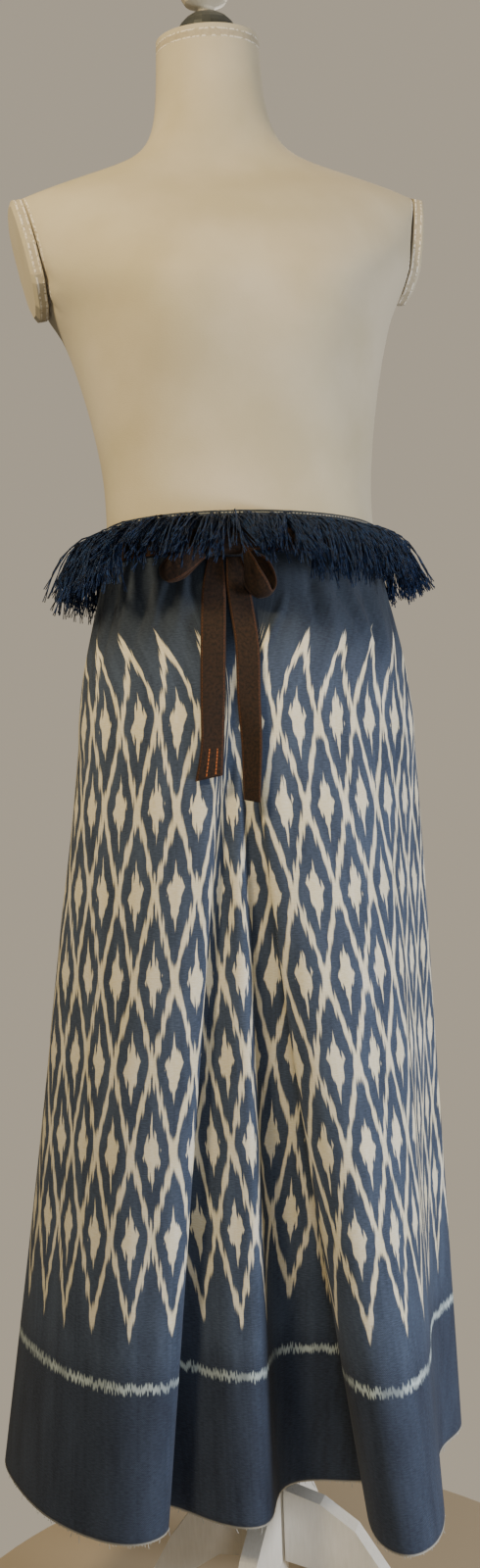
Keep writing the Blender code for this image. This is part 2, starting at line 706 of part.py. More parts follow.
def cut_flat(body, point, normal, lowest):
    """Cuts away what lies beyond a plane, above a height, and closes the cut. Gives its outline."""
    verts = [vertex for vertex in body.verts if vertex.co.z > lowest]
    edges = [edge for edge in body.edges if min(v.co.z for v in edge.verts) > lowest]
    faces = [face for face in body.faces if min(v.co.z for v in face.verts) > lowest]
    cut = bmesh.ops.bisect_plane(
        body, geom=verts + edges + faces, plane_co=point, plane_no=normal, clear_outer=True, dist=1e-6
    )
    edges = [item for item in cut["geom_cut"] if isinstance(item, bmesh.types.BMEdge)]
    filled = bmesh.ops.contextual_create(body, geom=edges)
    return [vertex.co.copy() for vertex in filled["faces"][0].verts]


def make_torso(material):
    """The form's covered torso. Gives the object and the outlines of both arm openings."""
    body = bmesh.new()
    rings = []
    between_rows = [torso_at(height) for height in TORSO_BETWEEN]
    for row in sorted(list(TORSO) + between_rows, key=lambda section: section.height):
        turns = [2.0 * math.pi * step / TORSO_COLUMNS for step in range(TORSO_COLUMNS)]
        bearings = [math.remainder(turn, 2.0 * math.pi) for turn in turns]
        rings.append([body.verts.new(torso_point(row, bearing)) for bearing in bearings])
    join_rings(body, rings)
    body.faces.new(list(reversed(rings[0])))
    body.faces.new(rings[-1])
    bmesh.ops.recalc_face_normals(body, faces=body.faces)
    outlines = [cut_flat(body, *arm_plane(side), ARM_CUT_LOWEST) for side in (-1, 1)]
    cut_flat(body, *neck_plane(), SKIRT_TOP)
    return make_object("form_torso", body, material), outlines


def make_arm_cap(name, side, outline, material):
    """The padded plate that closes an arm opening, cut to the opening's own outline."""
    normal = arm_plane(side)[1]
    body = bmesh.new()
    face = body.faces.new([body.verts.new(corner + normal * GAP) for corner in outline])
    made = bmesh.ops.extrude_face_region(body, geom=[face], use_keep_orig=True)
    raised = [item for item in made["geom"] if isinstance(item, bmesh.types.BMVert)]
    bmesh.ops.translate(body, verts=raised, vec=normal * ARM_CAP)
    crown = [item for item in made["geom"] if isinstance(item, bmesh.types.BMFace)]
    bmesh.ops.inset_region(body, faces=crown, thickness=0.0)
    inner = list({vertex for face in crown for vertex in face.verts})
    middle = Matrix.Translation(-crown[0].calc_center_median())
    bmesh.ops.scale(body, verts=inner, vec=(ARM_CROWN,) * 3, space=middle)
    bmesh.ops.translate(body, verts=inner, vec=normal * ARM_CAP / 3)
    return make_object(name, body, material)


def turned_body(name, profile, sides, material):
    """A closed shape turned round Z from a profile of (radius, height), bottom to top."""
    body = bmesh.new()
    points = [body.verts.new((radius, 0.0, height)) for radius, height in profile]
    edges = [body.edges.new(pair) for pair in zip(points, points[1:])]
    bmesh.ops.spin(
        body,
        geom=points + edges,
        cent=(0.0, 0.0, 0.0),
        axis=(0.0, 0.0, 1.0),
        angle=2.0 * math.pi,
        steps=sides,
        use_merge=True,
    )
    bmesh.ops.remove_doubles(body, verts=body.verts, dist=1e-6)
    return make_object(name, body, material)


CAP_RADIUS = 0.033
CAP_HEIGHT = 0.028
CAP_SEAT_RADIUS = 0.010
KNOB_RADIUS = 0.027
KNOB_HEIGHT = 0.049
KNOB_NECK = 0.009
CAP_SIDES = 22
KNOB_SIDES = 18


def cap_profile():
    """The neck cap's profile: a low dome with a small flat seat on top."""
    steps = 6
    start = math.asin(CAP_SEAT_RADIUS / CAP_RADIUS)
    arc = [math.pi / 2 - (math.pi / 2 - start) * step / steps for step in range(steps + 1)]
    dome = [(CAP_RADIUS * math.sin(angle), CAP_HEIGHT * math.cos(angle)) for angle in arc]
    return [(0.0, 0.0)] + dome + [(0.0, dome[-1][1])]


def knob_profile():
    """The turned knob's profile: a short neck that swells into a ball with a flat foot."""
    steps = 9
    centre = KNOB_HEIGHT - KNOB_RADIUS * 0.92
    arc = [math.radians(52.0) + (math.pi - math.radians(52.0)) * step / steps for step in range(steps + 1)]
    ball = [
        (KNOB_RADIUS * math.sin(angle), centre - KNOB_RADIUS * 0.92 * math.cos(angle)) for angle in arc
    ]
    ball[-1] = (0.0, ball[-1][1])
    return [(0.0, 0.0), (KNOB_NECK, 0.0), (KNOB_NECK, 0.004)] + ball


def place_on_neck(made, lift):
    """Sets a turned piece on the neck's sloping top, a lift above it along its slope."""
    point, normal = neck_plane()
    tilt = Vector((0.0, 0.0, 1.0)).rotation_difference(normal).to_matrix().to_4x4()
    made.data.transform(Matrix.Translation(point + normal * lift) @ tilt)


def leg_outline():
    """The board leg's outline as (distance from the axis, height), round the top and the arch."""
    start = POST_RADIUS + GAP
    top_edge = [(start, 0.206), (0.050, 0.197), (0.085, 0.176), (0.115, 0.136), (0.142, 0.088),
                (0.172, 0.050), (0.210, 0.026), (0.252, 0.018), (0.266, 0.010)]
    foot = [(0.268, 0.0), (0.196, 0.0)]
    arch = [(0.168, 0.010), (0.138, 0.038), (0.112, 0.076), (0.088, 0.108), (0.060, 0.128), (start, 0.134)]
    return top_edge + foot + arch


def make_leg(number, bearing, material):
    """One flat board leg, sawn to its outline, that springs from the post."""
    away = Vector((math.sin(math.radians(bearing)), -math.cos(math.radians(bearing)), 0.0))
    sideways = Vector((-away.y, away.x, 0.0))
    body = bmesh.new()
    near = [body.verts.new(away * r + Vector((0, 0, z)) - sideways * BOARD / 2) for r, z in leg_outline()]
    face = body.faces.new(near)
    made = bmesh.ops.extrude_face_region(body, geom=[face], use_keep_orig=True)
    far = [item for item in made["geom"] if isinstance(item, bmesh.types.BMVert)]
    bmesh.ops.translate(body, verts=far, vec=sideways * BOARD)
    bmesh.ops.triangulate(body, faces=[f for f in body.faces if len(f.verts) > 4])
    return make_object(f"stand_leg_{number}", body, material)


def make_stand(wood):
    """The post and the four legs that carry the form."""
    height = FORM_BOTTOM - GAP
    profile = [(0.0, POST_FOOT), (POST_RADIUS, POST_FOOT), (POST_RADIUS, height), (0.0, height)]
    turned_body("stand_post", profile, POST_SIDES, wood)
    for number, bearing in enumerate(LEG_BEARINGS, start=1):
        make_leg(number, bearing, wood)


def make_form(jersey, enamel, wood):
    """The torso with its arm plates, neck cap and knob."""
    _, outlines = make_torso(jersey)
    for name, side, outline in zip(("form_arm_cap_left", "form_arm_cap_right"), (-1, 1), outlines):
        make_arm_cap(name, side, outline, jersey)
    cap = turned_body("form_neck_cap", cap_profile(), CAP_SIDES, enamel)
    place_on_neck(cap, GAP)
    knob = turned_body("form_knob", knob_profile(), KNOB_SIDES, wood)
    seat = cap_profile()[-1][1]
    place_on_neck(knob, seat + 2 * GAP)


def make_tie(ribbon):
    """The ribbon tie: its band, knot, two loops and two hanging ends."""
    make_tie_band(ribbon)
    make_knot(ribbon)
    for shape in LOOPS:
        make_loop(shape, ribbon)
    make_tail("tie_tail_left", LEFT_TAIL, TAIL_STANDOFF, ribbon)
    make_tail("tie_tail_right", RIGHT_TAIL, TAIL_STANDOFF, ribbon)


def centre_on_origin():
    """Moves every mesh so that the part's box stands on Z = 0, centred on the origin."""
    corners = [vertex.co for made in bpy.context.scene.objects for vertex in made.data.vertices]
    low = Vector((min(c.x for c in corners), min(c.y for c in corners), min(c.z for c in corners)))
    high = Vector((max(c.x for c in corners), max(c.y for c in corners), low.z))
    shift = Matrix.Translation(-(low + high) / 2)
    for made in bpy.context.scene.objects:
        made.data.transform(shift)


def main():
    """Builds the whole part."""
    for old in list(bpy.data.objects):
        bpy.data.objects.remove(old, do_unlink=True)
    cloth = make_material("ikat_cotton", (0.075, 0.125, 0.215), 0.85)
    yarn = make_material("fringe_yarn", (0.015, 0.040, 0.090), 0.90)
    ribbon = make_material("brown_ribbon", (0.060, 0.026, 0.013), 0.80)
    jersey = make_material("form_jersey", (0.620, 0.540, 0.400), 0.85)
    enamel = make_material("cap_enamel", (0.070, 0.072, 0.075), 0.40)
    wood = make_material("painted_wood", (0.700, 0.660, 0.580), 0.50)
    make_form(jersey, enamel, wood)
    make_stand(wood)
    make_skirt(cloth)
    make_fringe(yarn)
    make_tie(ribbon)
    centre_on_origin()


main()
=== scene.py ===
"""Looks of a sinh tube skirt gathered on a limbless dress form.

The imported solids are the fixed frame. The skirt's cloth, its yarn fringe, the ribbon tie and the
form's jersey cover are finer pieces that stand for their plain solids, and the stand, the caps
and the knob keep their solids under a better finish.

Metres, +Z up, the front facing -Y. The form is turned a little towards +X on its post.
"""

import logging
import math
import random
from collections.abc import Callable, Sequence
from dataclasses import dataclass, field
from enum import Enum

import bmesh
import bpy
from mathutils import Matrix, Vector


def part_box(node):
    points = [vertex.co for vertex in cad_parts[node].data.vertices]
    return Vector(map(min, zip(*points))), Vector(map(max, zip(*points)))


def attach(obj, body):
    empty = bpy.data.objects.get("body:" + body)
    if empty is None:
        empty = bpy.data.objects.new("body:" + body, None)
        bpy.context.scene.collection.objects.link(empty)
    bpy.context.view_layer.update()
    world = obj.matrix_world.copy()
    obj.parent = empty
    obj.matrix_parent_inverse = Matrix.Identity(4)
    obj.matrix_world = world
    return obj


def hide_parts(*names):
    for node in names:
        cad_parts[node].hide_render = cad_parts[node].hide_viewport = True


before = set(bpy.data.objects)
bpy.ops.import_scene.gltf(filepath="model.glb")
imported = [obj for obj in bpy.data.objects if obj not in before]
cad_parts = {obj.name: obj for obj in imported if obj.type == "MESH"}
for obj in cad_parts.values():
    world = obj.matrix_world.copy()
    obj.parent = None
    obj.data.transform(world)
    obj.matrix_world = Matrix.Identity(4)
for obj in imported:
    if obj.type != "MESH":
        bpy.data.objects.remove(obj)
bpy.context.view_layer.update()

LOG = logging.getLogger("sinh_skirt")
MM = 0.001
MERGED = 0.01 * MM
ROOT = "root"
DOWN = Vector((0.0, 0.0, -1.0))
Socket = bpy.types.NodeSocket
MIX_COLOUR, MIX_FACTOR, MIX_FIRST, MIX_SECOND = 2, 0, 6, 7


# Small tools


def smooth(share: float) -> float:
    """A share from 0 to 1 that leaves and arrives level."""
    share = min(max(share, 0.0), 1.0)
    return share * share * (3.0 - 2.0 * share)


def between(low: float, high: float, share: float) -> float:
    """The value a share of the way from low to high."""
    return low + (high - low) * share


def cubic(before: float, first: float, second: float, after: float, share: float) -> float:
    """A Catmull-Rom value between first and second.

    Args:
        before: The value before first.
        first: The value at share 0.
        second: The value at share 1.
        after: The value after second.
        share: How far from first to second.

    Returns:
        The value at the share.
    """
    leave, arrive, rise = (second - before) / 2.0, (after - first) / 2.0, second - first
    square, cube = share**2, share**3
    bend, turn = 3.0 * rise - 2.0 * leave - arrive, leave + arrive - 2.0 * rise
    return first + share * leave + square * bend + cube * turn


def run_lengths(places: Sequence[Vector], unit: float = 1.0) -> list[float]:
    """How far along a run of places each one lies, counted in units."""
    travelled = [0.0]
    for before, place in zip(places, places[1:]):
        travelled.append(travelled[-1] + (place - before).length / unit)
    return travelled


def linear(colour: str) -> tuple[float, float, float, float]:
    """An sRGB hex colour as linear red, green, blue and alpha."""
    channels = [int(colour[start : start + 2], 16) / 255.0 for start in (0, 2, 4)]
    values = [c / 12.92 if c <= 0.04045 else ((c + 0.055) / 1.055) ** 2.4 for c in channels]
    return (values[0], values[1], values[2], 1.0)


def add_node(
    tree: bpy.types.NodeTree,
    kind: str,
    settings: dict[str, object],
    inputs: dict[int | str, object],
    output: int | str = 0,
) -> Socket:
    """Adds a shader node with its settings and links.

    Args:
        tree: The material's node tree.
        kind: The node's type.
        settings: Values of the node's own properties.
        inputs: A value or another node's output for each input.
        output: The output that is wanted.

    Returns:
        The wanted output.
    """
    node = tree.nodes.new(kind)
    for name, value in settings.items():
        setattr(node, name, value)
    for name, value in inputs.items():
        if isinstance(value, Socket):
            tree.links.new(value, node.inputs[name])
        else:
            node.inputs[name].default_value = value
    return node.outputs[output]


def plain_material(name: str, settings: dict[str, object]) -> tuple[bpy.types.Material, bpy.types.Node]:
    """A new material with its Principled shader set.

    Args:
        name: The material's name.
        settings: Values of the shader's inputs.

    Returns:
        The material and its Principled node.
    """
    material = bpy.data.materials.new(name)
    material.use_nodes = True
    shader = material.node_tree.nodes["Principled BSDF"]
    for key, value in settings.items():
        shader.inputs[key].default_value = value
    return material, shader


def in_fixed_order(body: bmesh.types.BMesh) -> bmesh.types.BMesh:
    """The same mesh with its faces and their corners in a fixed order.

    Subdividing leaves the faces in an order that differs from run to run.

    Args:
        body: The mesh, which is used up.

    Returns:
        A new mesh of the same places and faces.
    """
    body.verts.index_update()
    loops = []
    for face in body.faces:
        numbers = [vertex.index for vertex in face.verts]
        first = numbers.index(min(numbers))
        loops.append(numbers[first:] + numbers[:first])
    ordered = bmesh.new()
    verts = [ordered.verts.new(vertex.co) for vertex in body.verts]
    for numbers in sorted(loops):
        ordered.faces.new([verts[number] for number in numbers])
    body.free()
    return ordered


def show(body: bmesh.types.BMesh, name: str, material: bpy.types.Material, sharp: float = 50.0) -> bpy.types.Object:
    """Turns a bmesh into a smooth-shaded object.

    Args:
        body: The mesh, which is used up.
        name: The object's name.
        material: Its finish.
        sharp: The angle in degrees past which an edge stays sharp.

    Returns:
        The object, at the origin.
    """
    mesh = bpy.data.meshes.new(name)
    body.to_mesh(mesh)
    body.free()
    mesh.materials.append(material)
    mesh.shade_smooth()
    mesh.set_sharp_from_angle(angle=math.radians(sharp))
    made = bpy.data.objects.new(name, mesh)
    bpy.context.scene.collection.objects.link(made)
    return made


def thicken(piece: bpy.types.Object, thickness: float) -> None:
    """Gives a sheet an even wall, half on each side of its middle."""
    wall = piece.modifiers.new("cloth_wall", "SOLIDIFY")
    wall.thickness = thickness
    wall.offset = 0.0


def seat(piece: bpy.types.Object, nodes: Sequence[str] = ()) -> bpy.types.Object:
    """Lets a piece ride on the form, hides the solids it stands for and logs its triangles."""
    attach(piece, ROOT)
    if nodes:
        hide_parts(*nodes)
    triangles = sum(len(face.vertices) - 2 for face in piece.data.polygons)
    LOG.info("%s: %d triangles before its modifiers", piece.name, triangles)
    return piece


# Finishes


class ClothMap(Enum):
    """The named maps that the cloth patterns follow."""

    SKIRT = "skirt_map"
    RIBBON = "ribbon_map"


@dataclass(frozen=True)
class Recipe:
    """A material in the making. Most methods add a node and give the output that is wanted."""

    material: bpy.types.Material
    shader: bpy.types.Node

    @classmethod
    def start(cls, name: str, roughness: float, **settings: float) -> "Recipe":
        """A new material; each setting names an input of its shader, with _ for a space."""
        named = {key.replace("_", " "): value for key, value in settings.items()}
        return cls(*plain_material(name, {"Roughness": roughness, **named}))

    def node(
        self, kind: str, settings: dict[str, object], inputs: dict[int | str, object], output: int | str = 0
    ) -> Socket:
        """Any node, its kind named without the common prefix."""
        return add_node(self.material.node_tree, f"ShaderNode{kind}", settings, inputs, output)

    def math(self, operation: str, *values: Socket | float) -> Socket:
        """The result of an operation on one to three values."""
        return self.node("Math", {"operation": operation}, dict(enumerate(values)))

    def times(self, value: Socket | float, factor: Socket | float) -> Socket:
        """A value times a factor."""
        return self.math("MULTIPLY", value, factor)

    def added(self, value: Socket | float, factor: float, more: Socket) -> Socket:
        """A value times a factor, with more added to it."""
        return self.math("MULTIPLY_ADD", value, factor, more)

    def away(self, value: Socket, centre: float) -> Socket:
        """How far a value lies from a centre, to either side."""
        return self.math("ABSOLUTE", self.math("SUBTRACT", value, centre))

    def ramp(
        self, value: Socket, low: float, high: float, start: float = 0.0, end: float = 1.0, eased: bool = False
    ) -> Socket:
        """The value carried from the range low to high over to start to end, eased or straight."""
        kind = "SMOOTHSTEP" if eased else "LINEAR"
        inputs = {"Value": value, "From Min": low, "From Max": high, "To Min": start, "To Max": end}
        return self.node("MapRange", {"interpolation_type": kind}, inputs, "Result")

    def mask(self, value: Socket, low: float, high: float) -> Socket:
        """A soft mask, full under low and empty past high."""
        return self.ramp(value, low, high, 1.0, 0.0, eased=True)

    def mix(self, factor: Socket, first: Socket | str, second: Socket | str, blend: str = "MIX") -> Socket:
        """Two colours blended; each is an output or an sRGB hex."""
        first, second = (linear(each) if isinstance(each, str) else each for each in (first, second))
        inputs = {MIX_FACTOR: factor, MIX_FIRST: first, MIX_SECOND: second}
        return self.node("Mix", {"data_type": "RGBA", "blend_type": blend}, inputs, MIX_COLOUR)

    def plane(self, across: Socket, along: Socket) -> Socket:
        """A place on a flat sheet."""
        return self.node("CombineXYZ", {}, {0: across, 1: along})

    def noise(self, place: Socket, scale: float, detail: float = 2.0) -> Socket:
        """Cloudy noise at a place."""
        return self.node("TexNoise", {}, {"Vector": place, "Scale": scale, "Detail": detail})

    def chance(self, number: Socket) -> Socket:
        """A random share for each whole number."""
        return self.node("TexWhiteNoise", {"noise_dimensions": "1D"}, {"W": number}, "Value")

    def dashes(self, along: Socket, per_unit: float, filled: float) -> Socket:
        """A row of dashes, filled for this share of each."""
        return self.math("LESS_THAN", self.math("FRACT", self.times(along, per_unit)), filled)

    def object_place(self) -> Socket:
        """The place in Object coordinates."""
        return self.node("TexCoord", {}, {}, "Object")

    def map_place(self, layer: ClothMap) -> tuple[Socket, Socket]:
        """The two readings of a cloth map: across and along."""
        uv = self.node("UVMap", {"uv_map": layer.value}, {})
        across, along = (self.node("SeparateXYZ", {}, {0: uv}, axis) for axis in "XY")
        return across, along

    def link(self, name: str, value: Socket) -> None:
        """Links an output to one of the shader's inputs."""
        self.material.node_tree.links.new(value, self.shader.inputs[name])

    def done(self, colour: Socket, relief: Socket, strength: float, distance: float) -> bpy.types.Material:
        """The material, coloured and given the relief as a bump."""
        self.link("Base Color", colour)
        bump = {"Height": relief, "Strength": strength, "Distance": distance}
        self.link("Normal", self.node("Bump", {}, bump, "Normal"))
        return self.material


@dataclass(frozen=True)
class IkatCotton:
    """Hand-woven cotton, resist-dyed yarn by yarn in a diamond lattice.

    The skirt map counts pattern columns round the tube and metres of height. Each yarn slips a
    little against its neighbours, which gives every edge of the pattern its feathered steps.
    The listed zones darken the cloth with painted shade, under the fringe at the waist and towards
    the hem, each from where it begins to where it is full.
    """

    name: str = "handwoven_ikat_cotton"
    ground: str = "333D50"
    ground_light: str = "515F76"
    cream: str = "F6F0E0"
    cream_warm: str = "E4D8B2"
    stripe: str = "C4D3D4"
    thread: str = "D6D4C8"
    # Painted shade: the cloth darker under the fringe at the waist and darker towards the hem.
    painted_shade_zones: tuple[tuple[float, float, str], ...] = ((1.015, 1.090, "C2C1BA"), (0.405, 0.365, "D2D2D6"))
    lightness: tuple[float, float] = (0.76, 1.48)
    column: float = 40.0 * MM
    rhomb_height: float = 0.158
    first_row: float = 0.978
    column_offset: float = -0.27
    rows: int = 7
    line_half: float = 2.3 * MM
    line_soft: float = 0.024
    node_spread: float = 0.15
    spindles: tuple[tuple[float, float], ...] = ((0.43, 0.31), (0.17, 0.42))
    spindle_edge: tuple[float, float] = (0.92, 1.06)
    past_end_rows: float = 0.25
    stripe_height: float = 0.370
    stripe_half: float = 3.3 * MM
    stripe_soft: tuple[float, float] = (0.45, 1.45)
    stripe_slip: float = 3.2 * MM
    stripe_yarn: float = 1.0 * MM
    stripe_seed: float = 311.5
    tone_seed: float = 77.5
    yarn: float = 1.9 * MM
    slip: float = 7.0 * MM
    drift: float = 4.0 * MM
    weave: float = 1.6 * MM
    slub_scale: float = 330.0
    fleck_length: float = 5.0 * MM
    fleck_height: float = 1.1 * MM
    raw_edge: tuple[float, float] = (0.8 * MM, 2.2 * MM)
    stitch_drop: float = 2.2 * MM
    stitch_half: float = 0.32 * MM
    stitches_a_column: float = 11.0
    hem: float = 0.230
    top: float = 1.177

    def material(self) -> bpy.types.Material:
        """The cloth's material, which reads the skirt map."""
        make = Recipe.start(self.name, 0.94, Sheen_Weight=0.05, Sheen_Roughness=0.6, IOR=1.4)
        across, height = make.map_place(ClothMap.SKIRT)
        yarn, fine_yarn = (
            make.math("FLOOR", make.times(across, self.column / width)) for width in (self.yarn, self.stripe_yarn)
        )
        cream = self.pattern(make, across, self.slipped_height(make, across, height, yarn))
        stripe = self.stripe_mask(make, across, height, fine_yarn)
        colour = self.edges(make, across, height, self.colours(make, across, height, yarn, cream, stripe))
        return make.done(colour, self.relief(make, across, height), 0.5, 0.6 * MM)

    def slipped_height(self, make: Recipe, across: Socket, height: Socket, yarn: Socket) -> Socket:
        """The height on the dyed yarn, which slips yarn by yarn and drifts slowly over the cloth."""
        jitter = make.ramp(make.chance(yarn), 0.0, 1.0, -self.slip, self.slip)
        drift = make.noise(make.plane(across, make.times(height, 14.0)), 1.7, 1.0)
        slow = make.ramp(drift, 0.0, 1.0, -self.drift, self.drift)
        return make.math("ADD", make.math("ADD", height, jitter), slow)

    def pattern(self, make: Recipe, across: Socket, slipped: Socket) -> Socket:
        """The cream share of the diamond lattice, from 0 to 1.

        Args:
            make: The material in the making.
            across: Pattern columns round the tube.
            slipped: The height on the dyed yarn.

        Returns:
            The share of undyed cream.
        """
        half, soft, last = self.line_half / self.column, self.line_soft, (self.rows - 1) / 2.0
        column = make.math("SUBTRACT", across, self.column_offset)
        row = make.math("DIVIDE", make.math("SUBTRACT", slipped, self.first_row), self.rhomb_height)
        slants = [make.math(operation, column, row) for operation in ("ADD", "SUBTRACT")]
        gaps = [make.math("SUBTRACT", 0.5, make.math("PINGPONG", slant, 0.5)) for slant in slants]
        lines = make.mask(make.math("SMOOTH_MIN", *gaps, self.node_spread), half - soft, half + soft)
        beside = make.math("PINGPONG", column, 0.5)
        for rise in (row, make.math("SUBTRACT", -last, row)):
            reach = make.math("ADD", beside, rise)
            lines = make.times(lines, make.mask(reach, 0.5 + half - soft, 0.5 + half + soft))
        offsets = [make.math("SUBTRACT", slant, make.math("ROUND", slant)) for slant in slants]
        sides = [make.math("ABSOLUTE", make.math(operation, *offsets)) for operation in ("ADD", "SUBTRACT")]
        spindles = [
            make.math("ADD", make.math("DIVIDE", sides[0], wide), make.math("DIVIDE", sides[1], tall))
            for wide, tall in self.spindles
        ]
        filled = make.mask(make.math("MINIMUM", *spindles), *self.spindle_edge)
        from_middle = make.math("ABSOLUTE", make.math("ADD", row, last / 2.0))
        kept = make.math("LESS_THAN", from_middle, last / 2.0 + self.past_end_rows)
        return make.math("MAXIMUM", lines, make.times(filled, kept))

    def stripe_mask(self, make: Recipe, across: Socket, height: Socket, yarn: Socket) -> Socket:
        """The share of the pale stripe above the hem, feathered by each yarn's own slip."""
        chance = make.chance(make.math("ADD", yarn, self.stripe_seed))
        jitter = make.ramp(chance, 0.0, 1.0, -self.stripe_slip, self.stripe_slip)
        above = make.math("ADD", make.math("SUBTRACT", height, self.stripe_height), jitter)
        near, far = (self.stripe_half * share for share in self.stripe_soft)
        faded = make.node("TexNoise", {"noise_dimensions": "1D"}, {"W": across, "Scale": 1.3})
        return make.times(make.mask(make.math("ABSOLUTE", above), near, far), make.ramp(faded, 0.3, 0.6, 0.35, 1.0))

    def colours(
        self, make: Recipe, across: Socket, height: Socket, yarn: Socket, cream: Socket, stripe: Socket
    ) -> Socket:
        """The dyed cloth's colour from its mottled ground, its pattern and the stripe.

        Args:
            make: The material in the making.
            across: Pattern columns round the tube.
            height: Metres above the floor.
            yarn: The yarn bundle's number.
            cream: The share of cream.
            stripe: The share of the pale stripe.

        Returns:
            The colour.
        """
        tone = make.chance(make.math("ADD", yarn, self.tone_seed))
        cloud = make.noise(make.plane(across, make.times(height, 6.0)), 2.2, 4.0)
        wide = make.times(across, self.column / self.fleck_length)
        flecks = make.noise(make.plane(wide, make.math("DIVIDE", height, self.fleck_height)), 1.0)
        mottle = make.added(flecks, 1.1, make.added(tone, 0.10, cloud))
        lightness = make.ramp(mottle, *self.lightness)
        ground = make.mix(lightness, self.ground, self.ground_light)
        # Painted shade: darker under the fringe at the waist and darker towards the hem.
        for low, high, shade in self.painted_shade_zones:
            ground = make.mix(make.ramp(height, low, high, eased=True), ground, shade, "MULTIPLY")
        undyed = make.mix(lightness, self.cream_warm, self.cream)
        return make.mix(stripe, make.mix(cream, ground, undyed), self.stripe)

    def edges(self, make: Recipe, across: Socket, height: Socket, colour: Socket) -> Socket:
        """The colour with the pale raw hem and the stitches that hold the fringe at the top."""
        low, high = (self.hem + rise for rise in self.raw_edge)
        raw = make.ramp(height, low, high, 0.85, 0.0)
        row = make.math("LESS_THAN", make.away(height, self.top - self.stitch_drop), self.stitch_half)
        stitched = make.times(row, make.times(make.dashes(across, self.stitches_a_column, 0.6), 0.7))
        return make.mix(make.math("MAXIMUM", raw, stitched), colour, self.thread)

    def relief(self, make: Recipe, across: Socket, height: Socket) -> Socket:
        """The plain weave with its uneven yarns. The real threads lie 0.5 mm apart, too fine to
        show, so they are drawn three times as coarse.
        """
        turn = 2.0 * math.pi / self.weave
        warp, weft = make.times(across, self.column * turn), make.times(height, turn)
        weave = make.times(make.math("SINE", warp), make.math("SINE", weft))
        place = make.plane(make.times(across, self.column), height)
        return make.added(weave, 0.25, make.noise(place, self.slub_scale, 3.0))


@dataclass(frozen=True)
class FringeYarn:
    """Indigo cotton yarn, loosely twisted, whose strands differ a little in depth of dye."""

    name: str = "indigo_cotton_yarn"
    dark: str = "030B1F"
    light: str = "14335E"
    strand: float = 1.9 * MM

    def material(self) -> bpy.types.Material:
        """The yarn's material, on Object coordinates."""
        make = Recipe.start(self.name, 0.8, Sheen_Weight=0.04, Sheen_Roughness=0.4, IOR=1.45)
        place = make.object_place()
        depth = make.noise(place, 0.5 / self.strand)
        colour = make.mix(make.ramp(depth, 0.32, 0.68), self.dark, self.light)
        return make.done(colour, make.noise(place, 1.6 / self.strand), 0.5, 0.4 * MM)


@dataclass(frozen=True)
class RibbedTape:
    """Brown cotton tape with cross ribs, a firm woven edge and a topstitched end.

    The ribbon map runs from 0 to 1 across the tape and counts metres along it, from 0 at the
    stitched end.
    """

    name: str = "brown_ribbed_tape"
    dark: str = "150B06"
    light: str = "3E2717"
    stitch: str = "B5652F"
    width: float = 25.0 * MM
    rib: float = 1.2 * MM
    worn_scale: float = 330.0
    rows_middle: float = 0.56
    rows_apart: float = 0.17
    row_half: float = 0.022
    rows_from: float = 3.0 * MM
    rows_to: float = 27.0 * MM
    stitch_pitch: float = 3.2 * MM
    edge_row: float = 0.07
    edge_row_half: float = 0.014
    edge_row_share: float = 0.14

    def material(self) -> bpy.types.Material:
        """The tape's material, which reads the ribbon map."""
        make = Recipe.start(self.name, 0.82, Sheen_Weight=0.08, Sheen_Roughness=0.45, IOR=1.45)
        across, along = make.map_place(ClothMap.RIBBON)
        patchy = make.noise(make.plane(make.times(across, self.width), along), self.worn_scale, 4.0)
        in_edge = make.math("PINGPONG", across, 0.5)
        ribs = make.math("SINE", make.times(along, 2.0 * math.pi / self.rib))
        # The ribs tint the colour a little as well: painted shade in their grooves and painted highlight on their
        # crests.
        light = make.math("ADD", make.added(ribs, 0.03, patchy), make.ramp(in_edge, 0.03, 0.09, 0.3, 0.0))
        colour = make.mix(make.ramp(light, 0.34, 0.82), self.dark, self.light)
        colour = make.mix(self.stitches(make, across, along, in_edge), colour, self.stitch)
        return make.done(colour, make.added(ribs, 0.14, patchy), 0.5, 0.5 * MM)

    def stitches(self, make: Recipe, across: Socket, along: Socket, in_edge: Socket) -> Socket:
        """Two short rows of stitches side by side near the free end, and a fainter one in each edge."""
        off_row = make.away(make.away(across, self.rows_middle), self.rows_apart)
        row = make.math("LESS_THAN", off_row, self.row_half)
        dash = make.dashes(along, 1.0 / self.stitch_pitch, 0.72)
        near, past = make.math("LESS_THAN", along, self.rows_to), make.math("GREATER_THAN", along, self.rows_from)
        for part in (near, past, dash):
            row = make.times(row, part)
        edge_row = make.math("LESS_THAN", make.away(in_edge, self.edge_row), self.edge_row_half)
        return make.math("MAXIMUM", row, make.times(make.times(edge_row, dash), self.edge_row_share))


@dataclass(frozen=True)
class StitchPlane:
    """A flat opening of the cover, along which rows of stitches run."""

    point: tuple[float, float, float]
    normal: tuple[float, float, float]
    rows: tuple[float, ...]
    lowest: float


